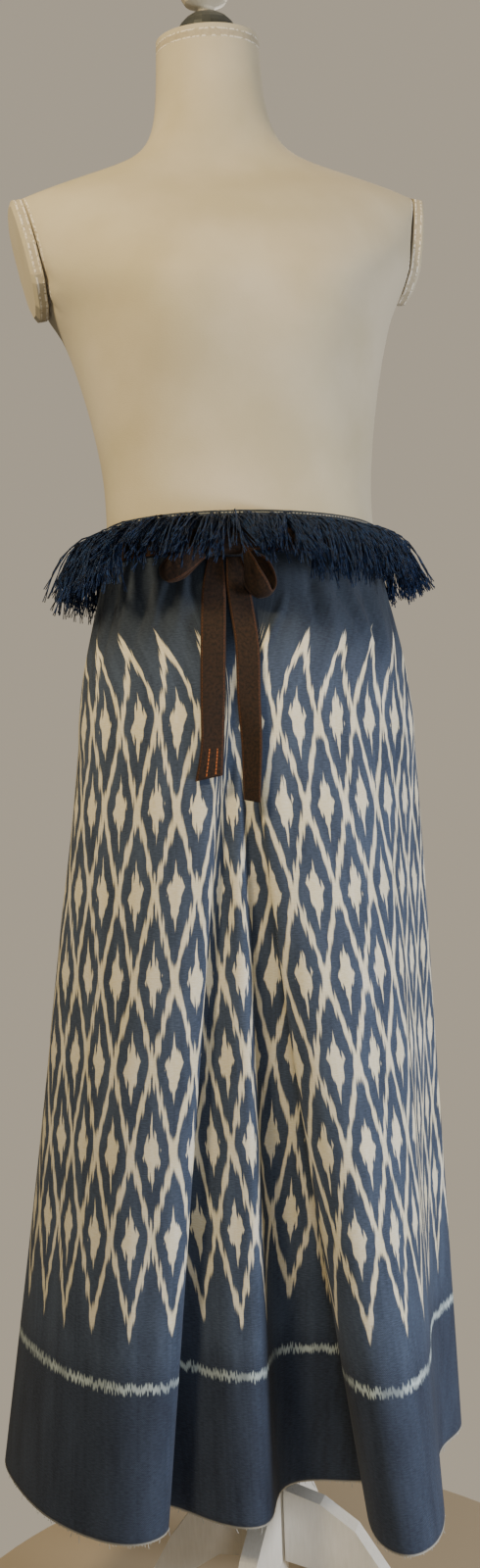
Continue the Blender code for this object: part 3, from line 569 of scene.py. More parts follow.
@dataclass(frozen=True)
class FormJersey:
    """Cream cotton jersey, stretched over the form and overlocked round its openings."""

    name: str = "cream_cotton_jersey"
    light: str = "D0C6AE"
    shade: str = "C2B799"
    thread: str = "F1EADB"
    # Painted shade on the band between the stitch rows of each opening.
    painted_shade_band: str = "A99C84"
    course: float = 1.3 * MM
    stretch: tuple[float, float, float] = (1.0, 1.0, 2.4)
    bead_scale: float = 420.0
    fibre_scale: float = 260.0
    row_edge: tuple[float, float] = (0.5 * MM, 1.1 * MM)
    planes: tuple[StitchPlane, ...] = ()

    def material(self) -> bpy.types.Material:
        """The jersey's material, on Object coordinates."""
        make = Recipe.start(self.name, 0.88, Sheen_Weight=0.15, Sheen_Roughness=0.5, IOR=1.45)
        place = make.object_place()
        colour = make.mix(make.ramp(make.noise(place, 9.0, 5.0), 0.35, 0.65), self.shade, self.light)
        stretched = make.node("Mapping", {}, {"Vector": place, "Scale": self.stretch})
        relief = make.times(make.noise(stretched, 0.6 / self.course), 0.5)
        for plane in self.planes:
            stitched, painted_shade_band = self.stitch_rows(make, place, plane)
            colour = make.mix(stitched, make.mix(painted_shade_band, colour, self.painted_shade_band), self.thread)
            relief = make.added(stitched, 1.6, relief)
        return make.done(colour, relief, 0.6, 0.5 * MM)

    def stitch_rows(self, make: Recipe, place: Socket, plane: StitchPlane) -> tuple[Socket, Socket]:
        """The rows of overlock stitches inside one opening, and the painted shade on the band between them.

        Args:
            make: The material in the making.
            place: Object coordinates.
            plane: The opening and its rows.

        Returns:
            The share of stitching thread, and the share of painted shade on the band between the rows.
        """
        offset = Vector(plane.point).dot(Vector(plane.normal))
        near = make.math("GREATER_THAN", make.node("SeparateXYZ", {}, {0: place}, "Z"), plane.lowest)
        dotted = make.node("VectorMath", {"operation": "DOT_PRODUCT"}, {0: place, 1: plane.normal}, "Value")
        inside = make.math("SUBTRACT", offset, dotted)
        beads = make.node(
            "TexNoise", {}, {"Vector": place, "Scale": self.bead_scale, "Detail": 0.0, "Roughness": 0.3}
        )
        bead = make.times(make.ramp(beads, 0.42, 0.5), near)
        rows = [
            make.times(make.ramp(make.away(inside, row), *self.row_edge, 1.0, 0.0), bead) for row in plane.rows
        ]
        stitched = rows[0]
        for row in rows[1:]:
            stitched = make.math("MAXIMUM", stitched, row)
        middle = (plane.rows[0] + plane.rows[-1]) / 2.0
        reach = abs(plane.rows[-1] - plane.rows[0]) / 2.0
        # Painted shade on the band between the outer stitch rows, broken up by fibre noise.
        patchy = make.ramp(make.away(inside, middle), reach, reach + 1.0 * MM, 1.0, 0.0)
        patchy = make.times(patchy, make.noise(place, self.fibre_scale))
        return stitched, make.times(patchy, near)


@dataclass(frozen=True)
class BrushedPaint:
    """Paint laid on by brush: faint streaks under a soft gloss, with small dulled patches."""

    name: str
    light: str
    shade: str
    roughness: float
    metallic: float = 0.0
    streak: float = 2.5 * MM
    stretch: tuple[float, float, float] = (1.0, 1.0, 0.12)

    def material(self) -> bpy.types.Material:
        """The paint's material, on Object coordinates."""
        make = Recipe.start(self.name, self.roughness, Metallic=self.metallic, Coat_Weight=0.15, IOR=1.5)
        place = make.object_place()
        drawn = make.node("Mapping", {}, {"Vector": place, "Scale": self.stretch})
        streaks, cloud = make.noise(drawn, 1.0 / self.streak, 3.0), make.noise(place, 14.0, 4.0)
        colour = make.mix(make.ramp(make.added(streaks, 0.4, cloud), 0.5, 0.95), self.shade, self.light)
        make.link("Roughness", make.ramp(cloud, 0.3, 0.7, self.roughness + 0.12, self.roughness - 0.05))
        return make.done(colour, streaks, 0.25, 0.3 * MM)


PAINTED_WOOD = BrushedPaint("white_painted_wood", "ECE9E1", "D6D2C6", 0.42)
KNOB_PAINT = BrushedPaint("cream_lacquered_wood", "EDE6D2", "DDD3BA", 0.3)
CAP_ENAMEL = BrushedPaint("dark_grey_enamel", "565A59", "454948", 0.36, metallic=0.35)


# The form and the cloth that hangs from it


@dataclass(frozen=True)
class FormSection:
    """A level section of the form: half width, depths, and where its centre stands."""

    height: float
    half_width: float
    front: float
    back: float
    shift: float = 0.0
    set_back: float = 0.0


@dataclass(frozen=True)
class ClothLine:
    """A line of the cloth from waist to hem.

    waist and hip are bearings in degrees from the front, standoff is millimetres off the form at
    the hip, across and forward are the hem's place in millimetres from the post, and ease is how
    late the cloth leaves the hip for its place at the hem.
    """

    waist: float
    hip: float
    standoff: float
    across: float
    forward: float
    ease: float


@dataclass(frozen=True)
class Crease:
    """A soft fold worked into the cloth by hand.

    line is the cloth line it starts on, lean the lines it drifts by at its foot, depth and width
    are millimetres, and a negative depth presses inward.
    """

    line: float
    top: float
    foot: float
    depth: float
    width: float
    lean: float = 0.0


FORM_SECTIONS = tuple(
    FormSection(*row)
    for row in (
        (0.868, 0.118, 0.080, 0.088), (0.885, 0.142, 0.096, 0.106),
        (0.920, 0.158, 0.109, 0.119), (0.965, 0.163, 0.114, 0.124),
        (1.020, 0.158, 0.112, 0.118), (1.080, 0.148, 0.107, 0.108),
        (1.140, 0.140, 0.102, 0.098), (1.190, 0.137, 0.099, 0.094, -0.001),
        (1.240, 0.139, 0.102, 0.095, -0.002, 0.001),
    )
)

CLOTH_LINES = tuple(
    ClothLine(*row)
    for row in (
        (-90, -90, 12, -282, -18, 1.10), (-73, -69, 12, -264, 22, 1.10),
        (-56, -48, 12, -226, 84, 1.10), (-41, -31, 12, -174, 124, 1.10),
        (-31, -20, 13, -140, 137, 1.05), (-25, -11.5, 14.5, -117, 134, 1.00),
        (-20.5, -5.0, 14.5, -101, 120, 1.00), (-17.5, -3.6, 12.8, -101, 100, 1.00),
        (-15.0, -3.3, 10.8, -117, 89, 1.00), (-12.8, -3.1, 8.8, -137, 90, 1.00),
        (-11.0, -2.9, 6.8, -138, 73, 1.00), (-9.4, -2.7, 4.9, -118, 68, 1.05),
        (-7.8, -2.3, 3.5, -92, 80, 1.15), (-6.2, -1.8, 3.2, -69, 98, 1.25),
        (-4.5, -1.4, 3.2, -44, 113, 1.30), (-3.0, -1.0, 3.2, -19, 118, 1.30),
        (-1.5, -0.6, 3.2, -4, 108, 1.30), (0.0, -0.2, 3.2, -1, 76, 1.30),
        (1.5, 0.2, 3.2, 5, 52, 1.30), (3.0, 0.6, 3.2, 24, 40, 1.30),
        (4.4, 1.0, 3.2, 50, 41, 1.30), (5.9, 1.6, 3.5, 78, 46, 1.30),
        (7.4, 2.2, 4.9, 104, 45, 1.30), (9.0, 2.5, 6.8, 127, 50, 1.30),
        (10.8, 2.7, 8.8, 127, 68, 1.30), (13.0, 2.9, 10.8, 106, 74, 1.35),
        (15.3, 3.2, 12.8, 87, 82, 1.40), (18.0, 4.6, 14.5, 84, 103, 1.40),
        (21.5, 9.0, 15, 87, 135, 1.40), (24.5, 14.0, 15, 98, 158, 1.40),
        (30.0, 19.5, 14, 117, 168, 1.30), (36.0, 26.5, 14, 137, 156, 1.20),
        (42.0, 34.0, 13, 150, 134, 1.10), (49.0, 42.0, 12, 157, 106, 1.00),
        (57.0, 51.5, 11, 160, 66, 0.90), (66.0, 62.0, 11, 162, 24, 0.80),
        (76.0, 74.0, 11, 171, -12, 0.70), (87.0, 86.0, 11, 190, -31, 0.70),
        (98.0, 97.0, 11, 205, -56, 0.75), (108.0, 108.0, 11, 197, -94, 1.00),
        (117.0, 118.0, 10, 178, -126, 1.00), (125.0, 126.5, 12, 164, -164, 1.00),
        (133.0, 133.0, 9, 132, -160, 1.00), (141.0, 141.0, 9, 99, -168, 1.00),
        (149.0, 150.5, 12, 68, -196, 1.00), (157.0, 158.5, 11, 36, -194, 1.00),
        (165.0, 165.0, 9, 10, -172, 1.00), (173.0, 172.5, 9, -20, -176, 1.00),
        (181.5, 182.5, 12, -54, -204, 1.00), (190.0, 192.0, 11, -88, -200, 1.00),
        (198.5, 199.0, 9, -114, -176, 1.00), (207.0, 206.5, 9, -144, -172, 1.00),
        (216.0, 217.0, 12, -182, -184, 1.00), (225.0, 227.0, 11, -212, -160, 1.00),
        (235.0, 235.5, 10, -232, -118, 1.00), (246.0, 246.0, 11, -258, -92, 1.00),
        (258.0, 258.0, 12, -276, -56, 1.05),
    )
)

CREASES = tuple(
    Crease(*row)
    for row in (
        (1.2, 1.120, 0.960, -2.6, 7.0, -0.3), (2.2, 1.128, 1.000, -3.4, 5.0, -0.9),
        (2.9, 1.122, 1.000, 2.6, 6.0, -1.2), (3.8, 1.130, 1.020, -4.4, 4.5, -1.6),
        (4.7, 1.130, 1.030, 2.8, 5.0, -2.0), (6.0, 1.138, 1.040, -4.4, 4.5, -3.2),
        (6.9, 1.136, 1.040, 2.6, 5.0, -3.2), (27.2, 1.106, 1.020, 3.0, 4.0, -0.9),
        (29.1, 1.126, 1.040, -4.8, 4.5, 1.8), (30.1, 1.126, 1.030, 4.0, 5.0, 1.9),
        (31.0, 1.118, 1.045, -4.8, 4.5, 3.0), (32.0, 1.120, 1.030, 3.6, 5.5, 2.6),
        (33.4, 1.128, 0.990, -3.8, 5.5, 1.4), (34.6, 1.120, 0.970, 2.4, 8.0, 0.5),
        (36.1, 1.128, 0.980, -2.8, 8.0, 0.2), (38.0, 1.124, 0.960, -3.0, 9.0, 0.1),
        (40.6, 1.130, 0.940, -3.2, 9.0, -0.2), (42.7, 1.118, 0.950, 2.6, 8.0, 0.2),
        (44.9, 1.128, 0.930, -3.4, 9.0, 0.1), (47.2, 1.124, 0.960, -3.0, 8.0, -0.2),
        (49.6, 1.130, 0.930, -3.4, 9.0, 0.2), (51.8, 1.120, 0.950, 2.8, 9.0, 0.1),
        (53.9, 1.128, 0.950, -3.0, 8.0, -0.3), (55.6, 1.122, 0.970, -2.6, 9.0, 0.1),
        (0.6, 0.900, 0.420, 3.0, 24.0, 0.2), (1.8, 0.820, 0.240, -3.6, 22.0, -0.3),
        (3.1, 0.760, 0.240, 2.8, 18.0, -0.2), (4.2, 0.560, 0.235, -2.2, 13.0, 0.1),
        (14.2, 0.640, 0.235, -2.4, 12.0, 0.2), (20.4, 0.560, 0.235, 2.6, 14.0, 0.0),
        (31.8, 0.720, 0.240, -2.6, 13.0, 0.2), (33.6, 0.860, 0.300, 2.6, 16.0, 0.2),
        (36.8, 0.780, 0.240, -3.4, 18.0, 0.1), (39.4, 0.860, 0.240, -3.4, 20.0, -0.2),
        (43.4, 0.800, 0.240, 3.4, 18.0, 0.1), (46.6, 0.880, 0.240, -3.6, 16.0, 0.2),
        (50.9, 0.840, 0.240, -3.4, 18.0, -0.1), (54.4, 0.820, 0.240, 3.6, 20.0, 0.1),
    )
)


@dataclass
class HangingCloth:
    """The run of the skirt's cloth: pinched at the waist, pleated in front, folded at the back."""

    post: Vector
    form_turn: float = math.radians(12.0)
    top: float = 1.177
    tie_low: float = 1.138
    fold_top: float = 1.098
    hip: float = 1.020
    hem: float = 0.230
    form_bottom: float = 0.868
    form_widens: float = 0.905
    settling: float = 0.035
    waist_standoff: float = 1.3 * MM
    lines: tuple[ClothLine, ...] = CLOTH_LINES
    sections: tuple[FormSection, ...] = FORM_SECTIONS

    def section_at(self, height: float) -> FormSection:
        """The form's section at a height, read smoothly from its table."""
        rows = self.sections
        last = len(rows) - 1
        row = 0
        while row < last - 1 and rows[row + 1].height < height:
            row += 1
        share = (height - rows[row].height) / (rows[row + 1].height - rows[row].height)
        share = min(max(share, 0.0), 1.0)
        near = (rows[max(row - 1, 0)], rows[row], rows[row + 1], rows[min(row + 2, last)])
        names = ("half_width", "front", "back", "shift", "set_back")
        return FormSection(height, *(cubic(*[getattr(section, name) for section in near], share) for name in names))

    def beside_form(self, height: float, degrees: float, standoff: float) -> Vector:
        """The plan place at a bearing from the front, a standoff away from the form."""
        section = self.section_at(height)
        angle = math.radians(degrees) - self.form_turn
        depth = section.front if math.cos(angle) > 0 else section.back
        across, forward = section.half_width * math.sin(angle), depth * math.cos(angle)
        normal = Vector((across / section.half_width**2, forward / depth**2)).normalized()
        across, forward = across + normal.x * standoff, forward + normal.y * standoff
        cosine, sine = math.cos(self.form_turn), math.sin(self.form_turn)
        place = Vector((across * cosine + forward * sine, across * sine - forward * cosine))
        return place + Vector((section.shift, section.set_back))

    def raw_line(self, line: ClothLine, height: float) -> Vector:
        """The plan place of a cloth line at a height, before the cloth settles."""
        if height >= self.hip:
            share = smooth((self.tie_low - height) / (self.tie_low - self.hip))
            folded = smooth((self.fold_top - height) / (self.fold_top - self.hip))
            bearing = between(line.waist, line.hip, folded)
            standoff = between(self.waist_standoff, line.standoff * MM, math.sqrt(share))
            return self.beside_form(height, bearing, standoff)
        share = ((self.hip - height) / (self.hip - self.hem)) ** line.ease
        hem = Vector((line.across, -line.forward)) * MM
        return self.beside_form(self.hip, line.hip, line.standoff * MM).lerp(hem, share)

    def line_at(self, line: ClothLine, height: float) -> Vector:
        """The line's place, eased over a short height so that the cloth hangs without a kink."""
        reach = min(self.settling, max(self.tie_low - height, 0.0), height - self.hem)
        places = [self.raw_line(line, height + reach * step / 2.0) for step in (-2, -1, 0, 1, 2)]
        return sum(places, Vector((0.0, 0.0))) / len(places)

    def clearance(self, line: ClothLine, height: float) -> float:
        """The least distance that this layer keeps from the form."""
        share = smooth((self.tie_low - height) / (self.tie_low - self.hip))
        return between(self.waist_standoff, 0.8 * line.standoff * MM, math.sqrt(share))

    def pushed_clear(self, place: Vector, height: float, clearance: float) -> Vector:
        """The place, moved out where it would come nearer to the form than its clearance."""
        if height < self.form_bottom - self.settling:
            return place
        section = self.section_at(max(height, self.form_widens))
        centre = Vector((section.shift, section.set_back))
        offset = place - centre
        cosine, sine = math.cos(self.form_turn), math.sin(self.form_turn)
        across = offset.x * cosine + offset.y * sine
        forward = offset.x * sine - offset.y * cosine
        depth = section.front if forward > 0 else section.back
        reach = math.hypot(across / (section.half_width + clearance), forward / (depth + clearance))
        return place if reach >= 1.0 else centre + offset / reach

    def ring(self, alongs: Sequence[float], height: float) -> list[Vector]:
        """The middle of the cloth round the tube.

        Args:
            alongs: Places round the tube, counted in cloth lines.
            height: Metres above the floor.

        Returns:
            The plan places, measured from the post's axis.
        """
        places = [self.line_at(line, height) for line in self.lines]
        gaps = [self.clearance(line, height) for line in self.lines]
        count = len(self.lines)
        ring = []
        for along in alongs:
            index = math.floor(along)
            share = along - index
            weights = (
                (1.0 - share) ** 3 / 6.0,
                (3.0 * share**3 - 6.0 * share**2 + 4.0) / 6.0,
                (-3.0 * share**3 + 3.0 * share**2 + 3.0 * share + 1.0) / 6.0,
                share**3 / 6.0,
            )
            place, gap = Vector((0.0, 0.0)), 0.0
            for step, weight in zip((-1, 0, 1, 2), weights):
                place += places[(index + step) % count] * weight
                gap += gaps[(index + step) % count] * weight
            ring.append(self.pushed_clear(place, height, gap))
        return ring

    def normals(self, ring: Sequence[Vector]) -> list[Vector]:
        """The outward plan direction at each place of a closed ring."""
        found = []
        for index, place in enumerate(ring):
            run = (place - ring[index - 1]).normalized() + (ring[(index + 1) % len(ring)] - place).normalized()
            found.append(Vector((run.y, -run.x)).normalized())
        return found

    def in_frame(self, place: Vector, height: float) -> Vector:
        """A plan place at a height, moved from the post's axis to the frame."""
        return Vector((place.x + self.post.x, place.y + self.post.y, height))

    def even_alongs(self, count: int, height: float, finer: int = 24) -> list[float]:
        """Places round the tube at even distances along the cloth at a height."""
        total = len(self.lines)
        marks = [step / finer for step in range(total * finer)]
        ring = self.ring(marks, height)
        travelled = run_lengths([*ring, ring[0]])
        alongs, step = [], 0
        for index in range(count):
            target = travelled[-1] * index / count
            while travelled[step + 1] < target:
                step += 1
            share = (target - travelled[step]) / (travelled[step + 1] - travelled[step])
            alongs.append((step + share) / finer)
        return alongs


@dataclass
class Grid:
    """A sheet started as a flat grid and bent to its place, with its own map."""

    name: str
    columns: int
    rows: int
    place: Callable[[int, int], Vector]
    chart: Callable[[int, int], tuple[float, float]]
    layer: ClothMap
    closed: bool = False

    def make(self, material: bpy.types.Material) -> bpy.types.Object:
        """Bends the grid and dresses it.

        Args:
            material: The sheet's finish.

        Returns:
            The sheet, one layer thick.
        """
        body = bmesh.new()
        bmesh.ops.create_grid(body, x_segments=self.columns, y_segments=self.rows, size=1.0)
        steps = {}
        for vertex in body.verts:
            column = round((vertex.co.x + 1.0) / 2.0 * self.columns)
            row = round((vertex.co.y + 1.0) / 2.0 * self.rows)
            steps[vertex] = (column, row)
        layer = body.loops.layers.uv.new(self.layer.value)
        for face in body.faces:
            for loop in face.loops:
                loop[layer].uv = self.chart(*steps[loop.vert])
        for vertex, (column, row) in steps.items():
            vertex.co = self.place(column, row)
        if self.closed:
            bmesh.ops.remove_doubles(body, verts=body.verts, dist=MERGED)
            bmesh.ops.recalc_face_normals(body, faces=body.faces)
        return show(body, self.name, material, sharp=80.0)


@dataclass
class SkirtTube:
    """The skirt's tube of cloth with its creases, and the threads frayed from its raw hem.

    The whole numbers from fold_edge to back_from are cloth lines. held gives the pattern column
    that lies on the fold's edge, on the centre and on the roll's edge, with its lean for each
    metre and the height at which it is read.
    """

    cloth: HangingCloth
    finish: IkatCotton
    columns: int = 336
    rows: int = 144
    wall: float = 1.0 * MM
    pattern_columns: int = 42
    fold_edge: int = 6
    centre_from: int = 12
    centre: int = 15
    centre_to: int = 22
    roll_from: int = 26
    roll_edge: int = 28
    back_from: int = 39
    crease_onset: float = 4.0
    crease_fade: float = 1.6
    crease_reach: float = 3.0
    held: tuple[tuple[float, float, float], ...] = ((0.0, 1.27, 0.470), (3.05, 0.9, 0.503), (9.95, 0.19, 0.230))
    threads: int = 560
    thread_lengths: tuple[float, ...] = (1.2, 1.5, 1.8, 2.2, 2.8, 3.6, 7.0)
    thread_radius: float = 0.28 * MM
    seed: int = 5

    def alongs(self) -> list[float]:
        """Places round the tube for the sheet's columns, close enough at the hem's folds."""
        even = self.cloth.even_alongs(self.columns, 0.45)
        return [*even, float(len(self.cloth.lines))]

    def charted(self, ring: Sequence[Vector], alongs: Sequence[float], height: float) -> list[float]:
        """The pattern columns round one ring.

        The cloth keeps its cut width where it shows, and the turns of the pleat and the back's
        gathers take up what is pinched together above the hem.

        Args:
            ring: The cloth's places.
            alongs: The same places counted in cloth lines.
            height: The ring's height.

        Returns:
            The pattern column of each place.
        """
        travelled = run_lengths(ring, self.finish.column)

        def at(along: float) -> float:
            """How far round the ring a cloth line is."""
            index = next(step for step, value in enumerate(alongs) if value >= along)
            if index == 0:
                return travelled[0]
            share = (along - alongs[index - 1]) / (alongs[index] - alongs[index - 1])
            return between(travelled[index - 1], travelled[index], share)

        edge, middle, roll = (column + lean * (height - level) for column, lean, level in self.held)
        marks = [
            (0.0, edge - at(self.fold_edge)),
            (self.fold_edge, edge),
            (self.centre_from, middle - at(self.centre) + at(self.centre_from)),
            (self.centre_to, middle - at(self.centre) + at(self.centre_to)),
            (self.roll_from, roll + at(self.roll_from) - at(self.roll_edge)),
            (self.back_from, roll + at(self.back_from) - at(self.roll_edge)),
            (float(len(self.cloth.lines)), edge - at(self.fold_edge) + self.pattern_columns),
        ]
        chart = []
        part = 0
        for along, distance in zip(alongs, travelled):
            while part < len(marks) - 2 and along > marks[part + 1][0]:
                part += 1
            (start, low), (end, high) = marks[part], marks[part + 1]
            share = (distance - at(start)) / max(at(end) - at(start), 1e-9)
            chart.append(between(low, high, min(max(share, 0.0), 1.0)))
        return chart

    def creased(self, ring: Sequence[Vector], alongs: Sequence[float], height: float) -> list[Vector]:
        """The ring with its hand-worked creases.

        Args:
            ring: The cloth's places, the first again at the end.
            alongs: The same places counted in cloth lines.
            height: The ring's height.

        Returns:
            The creased places.
        """
        travelled = run_lengths(ring)
        total, count = travelled[-1], len(self.cloth.lines)
        moves = [0.0] * (len(ring) - 1)
        for crease in CREASES:
            run = (crease.top - height) / (crease.top - crease.foot)
            if not 0.0 < run < 1.0:
                continue
            depth = crease.depth * MM * smooth(run * self.crease_onset) * smooth((1.0 - run) * self.crease_fade)
            line = (crease.line + crease.lean * run) % count
            index = next(step for step, value in enumerate(alongs) if value >= line)
            for step in range(len(moves)):
                away = abs(travelled[step] - travelled[index])
                away = min(away, total - away) / (crease.width * MM)
                if away < self.crease_reach:
                    moves[step] += depth * math.exp(-(away**2))
        normals = self.cloth.normals(ring[:-1])
        creased = [place + normal * move for place, normal, move in zip(ring, normals, moves)]
        return [*creased, creased[0]]

    def build(self) -> bpy.types.Object:
        """The cloth itself.

        Returns:
            The tube, with its wall.
        """
        alongs = self.alongs()
        heights = [between(self.cloth.hem, self.cloth.top, row / self.rows) for row in range(self.rows + 1)]
        places, charts = [], []
        for height in heights:
            ring = self.cloth.ring(alongs, height)
            ring[-1] = ring[0]
            charts.append(self.charted(ring, alongs, height))
            creased = self.creased(ring, alongs, height)
            places.append([self.cloth.in_frame(place, height) for place in creased])
        sheet = Grid(
            "skirt_cloth",
            self.columns,
            self.rows,
            lambda column, row: places[row][column],
            lambda column, row: (charts[row][column], heights[row]),
            ClothMap.SKIRT,
            closed=True,
        )
        piece = sheet.make(self.finish.material())
        thicken(piece, self.wall)
        return seat(piece, ["skirt_tube"])

    def frayed(self) -> bpy.types.Object:
        """Loose ends of weft, drawn out of the raw hem.

        Returns:
            The threads, as one piece.
        """
        chance = random.Random(self.seed)
        alongs = self.cloth.even_alongs(self.threads, self.cloth.hem)
        ring = self.cloth.ring(alongs, self.cloth.hem)
        normals = self.cloth.normals(ring)
        paths = []
        for place, normal in zip(ring, normals):
            side = Vector((normal.y, -normal.x, 0.0))
            start = self.cloth.in_frame(place, self.cloth.hem + 0.6 * MM)
            length = chance.choice(self.thread_lengths) * MM * chance.uniform(0.7, 1.2)
            lean = side * chance.uniform(-0.7, 0.7) + normal.to_3d() * chance.uniform(-0.4, 0.4)
            middle = start + (lean * 0.4 + DOWN).normalized() * length * 0.5
            end = middle + (lean * 1.3 + DOWN).normalized() * length * 0.5
            paths.append([start, middle, end])
        thread = BrushedPaint("raw_cotton_thread", "D9D6CB", "A9B2BB", 0.85, streak=4.0 * MM)
        piece = Strands("hem_threads", self.thread_radius, paths).make(thread.material())
        return seat(piece)


@dataclass
class Strands:
    """Many thin round strands, drawn as bevelled curves and turned into one mesh."""

    name: str
    radius: float
    paths: list[list[Vector]]

    def make(self, material: bpy.types.Material) -> bpy.types.Object:
        """Builds the strands.

        Args:
            material: Their finish.

        Returns:
            One mesh of all the strands.
        """
        curve = bpy.data.curves.new(self.name, "CURVE")
        curve.dimensions = "3D"
        curve.bevel_depth = self.radius
        curve.bevel_resolution = 0
        curve.use_fill_caps = True
        for path in self.paths:
            spline = curve.splines.new("POLY")
            spline.points.add(len(path) - 1)
            for point, place in zip(spline.points, path):
                point.co = (*place, 1.0)
        drawn = bpy.data.objects.new(self.name, curve)
        bpy.context.scene.collection.objects.link(drawn)
        bpy.context.view_layer.update()
        mesh = bpy.data.meshes.new_from_object(drawn.evaluated_get(bpy.context.evaluated_depsgraph_get()))
        bpy.data.objects.remove(drawn)
        bpy.data.curves.remove(curve)
        mesh.name = self.name
        mesh.materials.clear()
        mesh.materials.append(material)
        mesh.shade_smooth()
        made = bpy.data.objects.new(self.name, mesh)
        bpy.context.scene.collection.objects.link(made)
        return made


@dataclass
class WaistFringe:
    """The yarn fringe at the top edge: strands that stand out, bend over and hang in tufts.

    lift and hang are a mean and a spread in degrees, and each of the twined cords has its height
    and depth in millimetres.
    """

    cloth: HangingCloth
    finish: FringeYarn
    strands: int = 1580
    tuft: int = 8
    length: float = 75.0 * MM
    root_height: float = 1.1702
    root_depth: float = 2.8 * MM
    steps: int = 6
    ply_offset: float = 0.42 * MM
    ply_radius: float = 0.46 * MM
    parted: float = 3.0
    twist: float = 1.9
    lift: tuple[float, float] = (22.0, 8.0)
    least_lift: float = 7.0
    hang: tuple[float, float] = (75.0, 7.0)
    most_hang: float = 91.0
    lengths: tuple[float, float] = (0.86, 1.12)
    long_share: float = 0.2
    longer: float = 1.22
    tuft_lean: float = 0.24
    tuft_drop: float = 5.0
    twined: int = 760
    cords: tuple[tuple[float, float], ...] = ((-2.2, 1.6), (0.0, 1.9), (2.0, 1.6))
    bow_across: float = -0.028
    bow_half: float = 0.060
    bow_fade: float = 0.018
    bow_lift: float = 13.0
    bow_hang: float = 27.0
    far_left: float = -0.115
    seed: int = 21

    def over_bow(self, root: Vector) -> float:
        """How fully, from 0 to 1, a strand lies over the bow, which holds it up."""
        if root.y > 0.0:
            return 0.0
        return smooth(1.0 - (abs(root.x - self.bow_across) - self.bow_half) / self.bow_fade)

    def strand(
        self, root: Vector, normal: Vector, tuft: tuple[float, float], chance: random.Random
    ) -> tuple[list[Vector], list[Vector]]:
        """One strand: two plies twisted together, which part at the tip.

        Args:
            root: Where it leaves the cloth, measured from the post's axis.
            normal: The way out of the cloth there.
            tuft: Its tuft's own lean along the edge, and its further drop in degrees.
            chance: The seeded chance.

        Returns:
            The points of both plies from root to tip.
        """
        outward, side = normal.to_3d(), Vector((-normal.y, normal.x, 0.0))
        raised = self.over_bow(root)
        lift = math.radians(max(chance.gauss(*self.lift), self.least_lift) - raised * self.bow_lift)
        dropped = min(chance.gauss(*self.hang) + tuft[1], self.most_hang)
        hang = math.radians(dropped - raised * self.bow_hang)
        length = self.length * chance.uniform(*self.lengths)
        if root.x < self.far_left and chance.random() < self.long_share:
            length *= self.longer
        sway = tuft[0] + chance.gauss(0.0, 0.07)
        curl = chance.gauss(0.0, 0.10)
        place = Vector((root.x, root.y, self.root_height + chance.uniform(-2.4, 2.0) * MM))
        place += outward * chance.uniform(1.2, 1.0 + self.root_depth / MM) * MM
        turn = chance.uniform(0.0, math.pi)
        plies: tuple[list[Vector], list[Vector]] = ([], [])
        for step in range(self.steps + 1):
            share = (step + 0.5) / self.steps
            slope = between(lift, hang, smooth(share * 1.3))
            across = side * (sway * share + curl * share**2)
            way = (outward * math.cos(slope) - Vector((0.0, 0.0, math.sin(slope))) + across).normalized()
            apart = self.ply_offset * (self.parted if step == self.steps else 1.0)
            angle = turn + self.twist * step
            offset = (side * math.cos(angle) + way.cross(side) * math.sin(angle)) * apart
            plies[0].append(place + offset)
            plies[1].append(place - offset)
            place = place + way * (length / self.steps)
        return plies

    def build(self) -> bpy.types.Object:
        """The fringe with its twined root band.

        Returns:
            The strands and the band as one mesh.
        """
        chance = random.Random(self.seed)
        paths = []
        shift = Vector((self.cloth.post.x, self.cloth.post.y, 0.0))
        ring = self.cloth.ring(self.cloth.even_alongs(self.strands, self.root_height), self.root_height)
        for index, (place, normal) in enumerate(zip(ring, self.cloth.normals(ring))):
            if index % self.tuft == 0:
                tuft = (chance.gauss(0.0, self.tuft_lean), chance.gauss(0.0, self.tuft_drop))
            for ply in self.strand(place, normal, tuft, chance):
                paths.append([point + shift for point in ply])
        ring = self.cloth.ring(self.cloth.even_alongs(self.twined, self.root_height), self.root_height)
        normals = self.cloth.normals(ring)
        for level, depth in self.cords:
            cord = []
            for step, (place, normal) in enumerate(zip(ring, normals)):
                wave = 0.5 * math.sin(step * math.pi / 2.0)
                out = place + normal * (depth + 0.25 * wave) * MM
                cord.append(self.cloth.in_frame(out, self.root_height + (level + wave) * MM))
            paths.append([*cord, cord[0]])
        piece = Strands("fringe_yarns", self.ply_radius, paths).make(self.finish.material())
        return seat(piece, ["waist_fringe"])


class TailSide(Enum):
    """Which hanging end of the tie."""

    LEFT = "left"
    RIGHT = "right"


@dataclass(frozen=True)
class LoopShape:
    """How a loop of the bow leaves the knot: its side, reach, drop at the root and further fall.

    parted is how far its front layer hangs to the left of and below its back layer, and tilt is
    how far its outer edge turns forward, or back where it is negative.
    """

    name: str
    side: int
    reach: float
    drop: float
    fall: float
    parted: float
    tilt: float


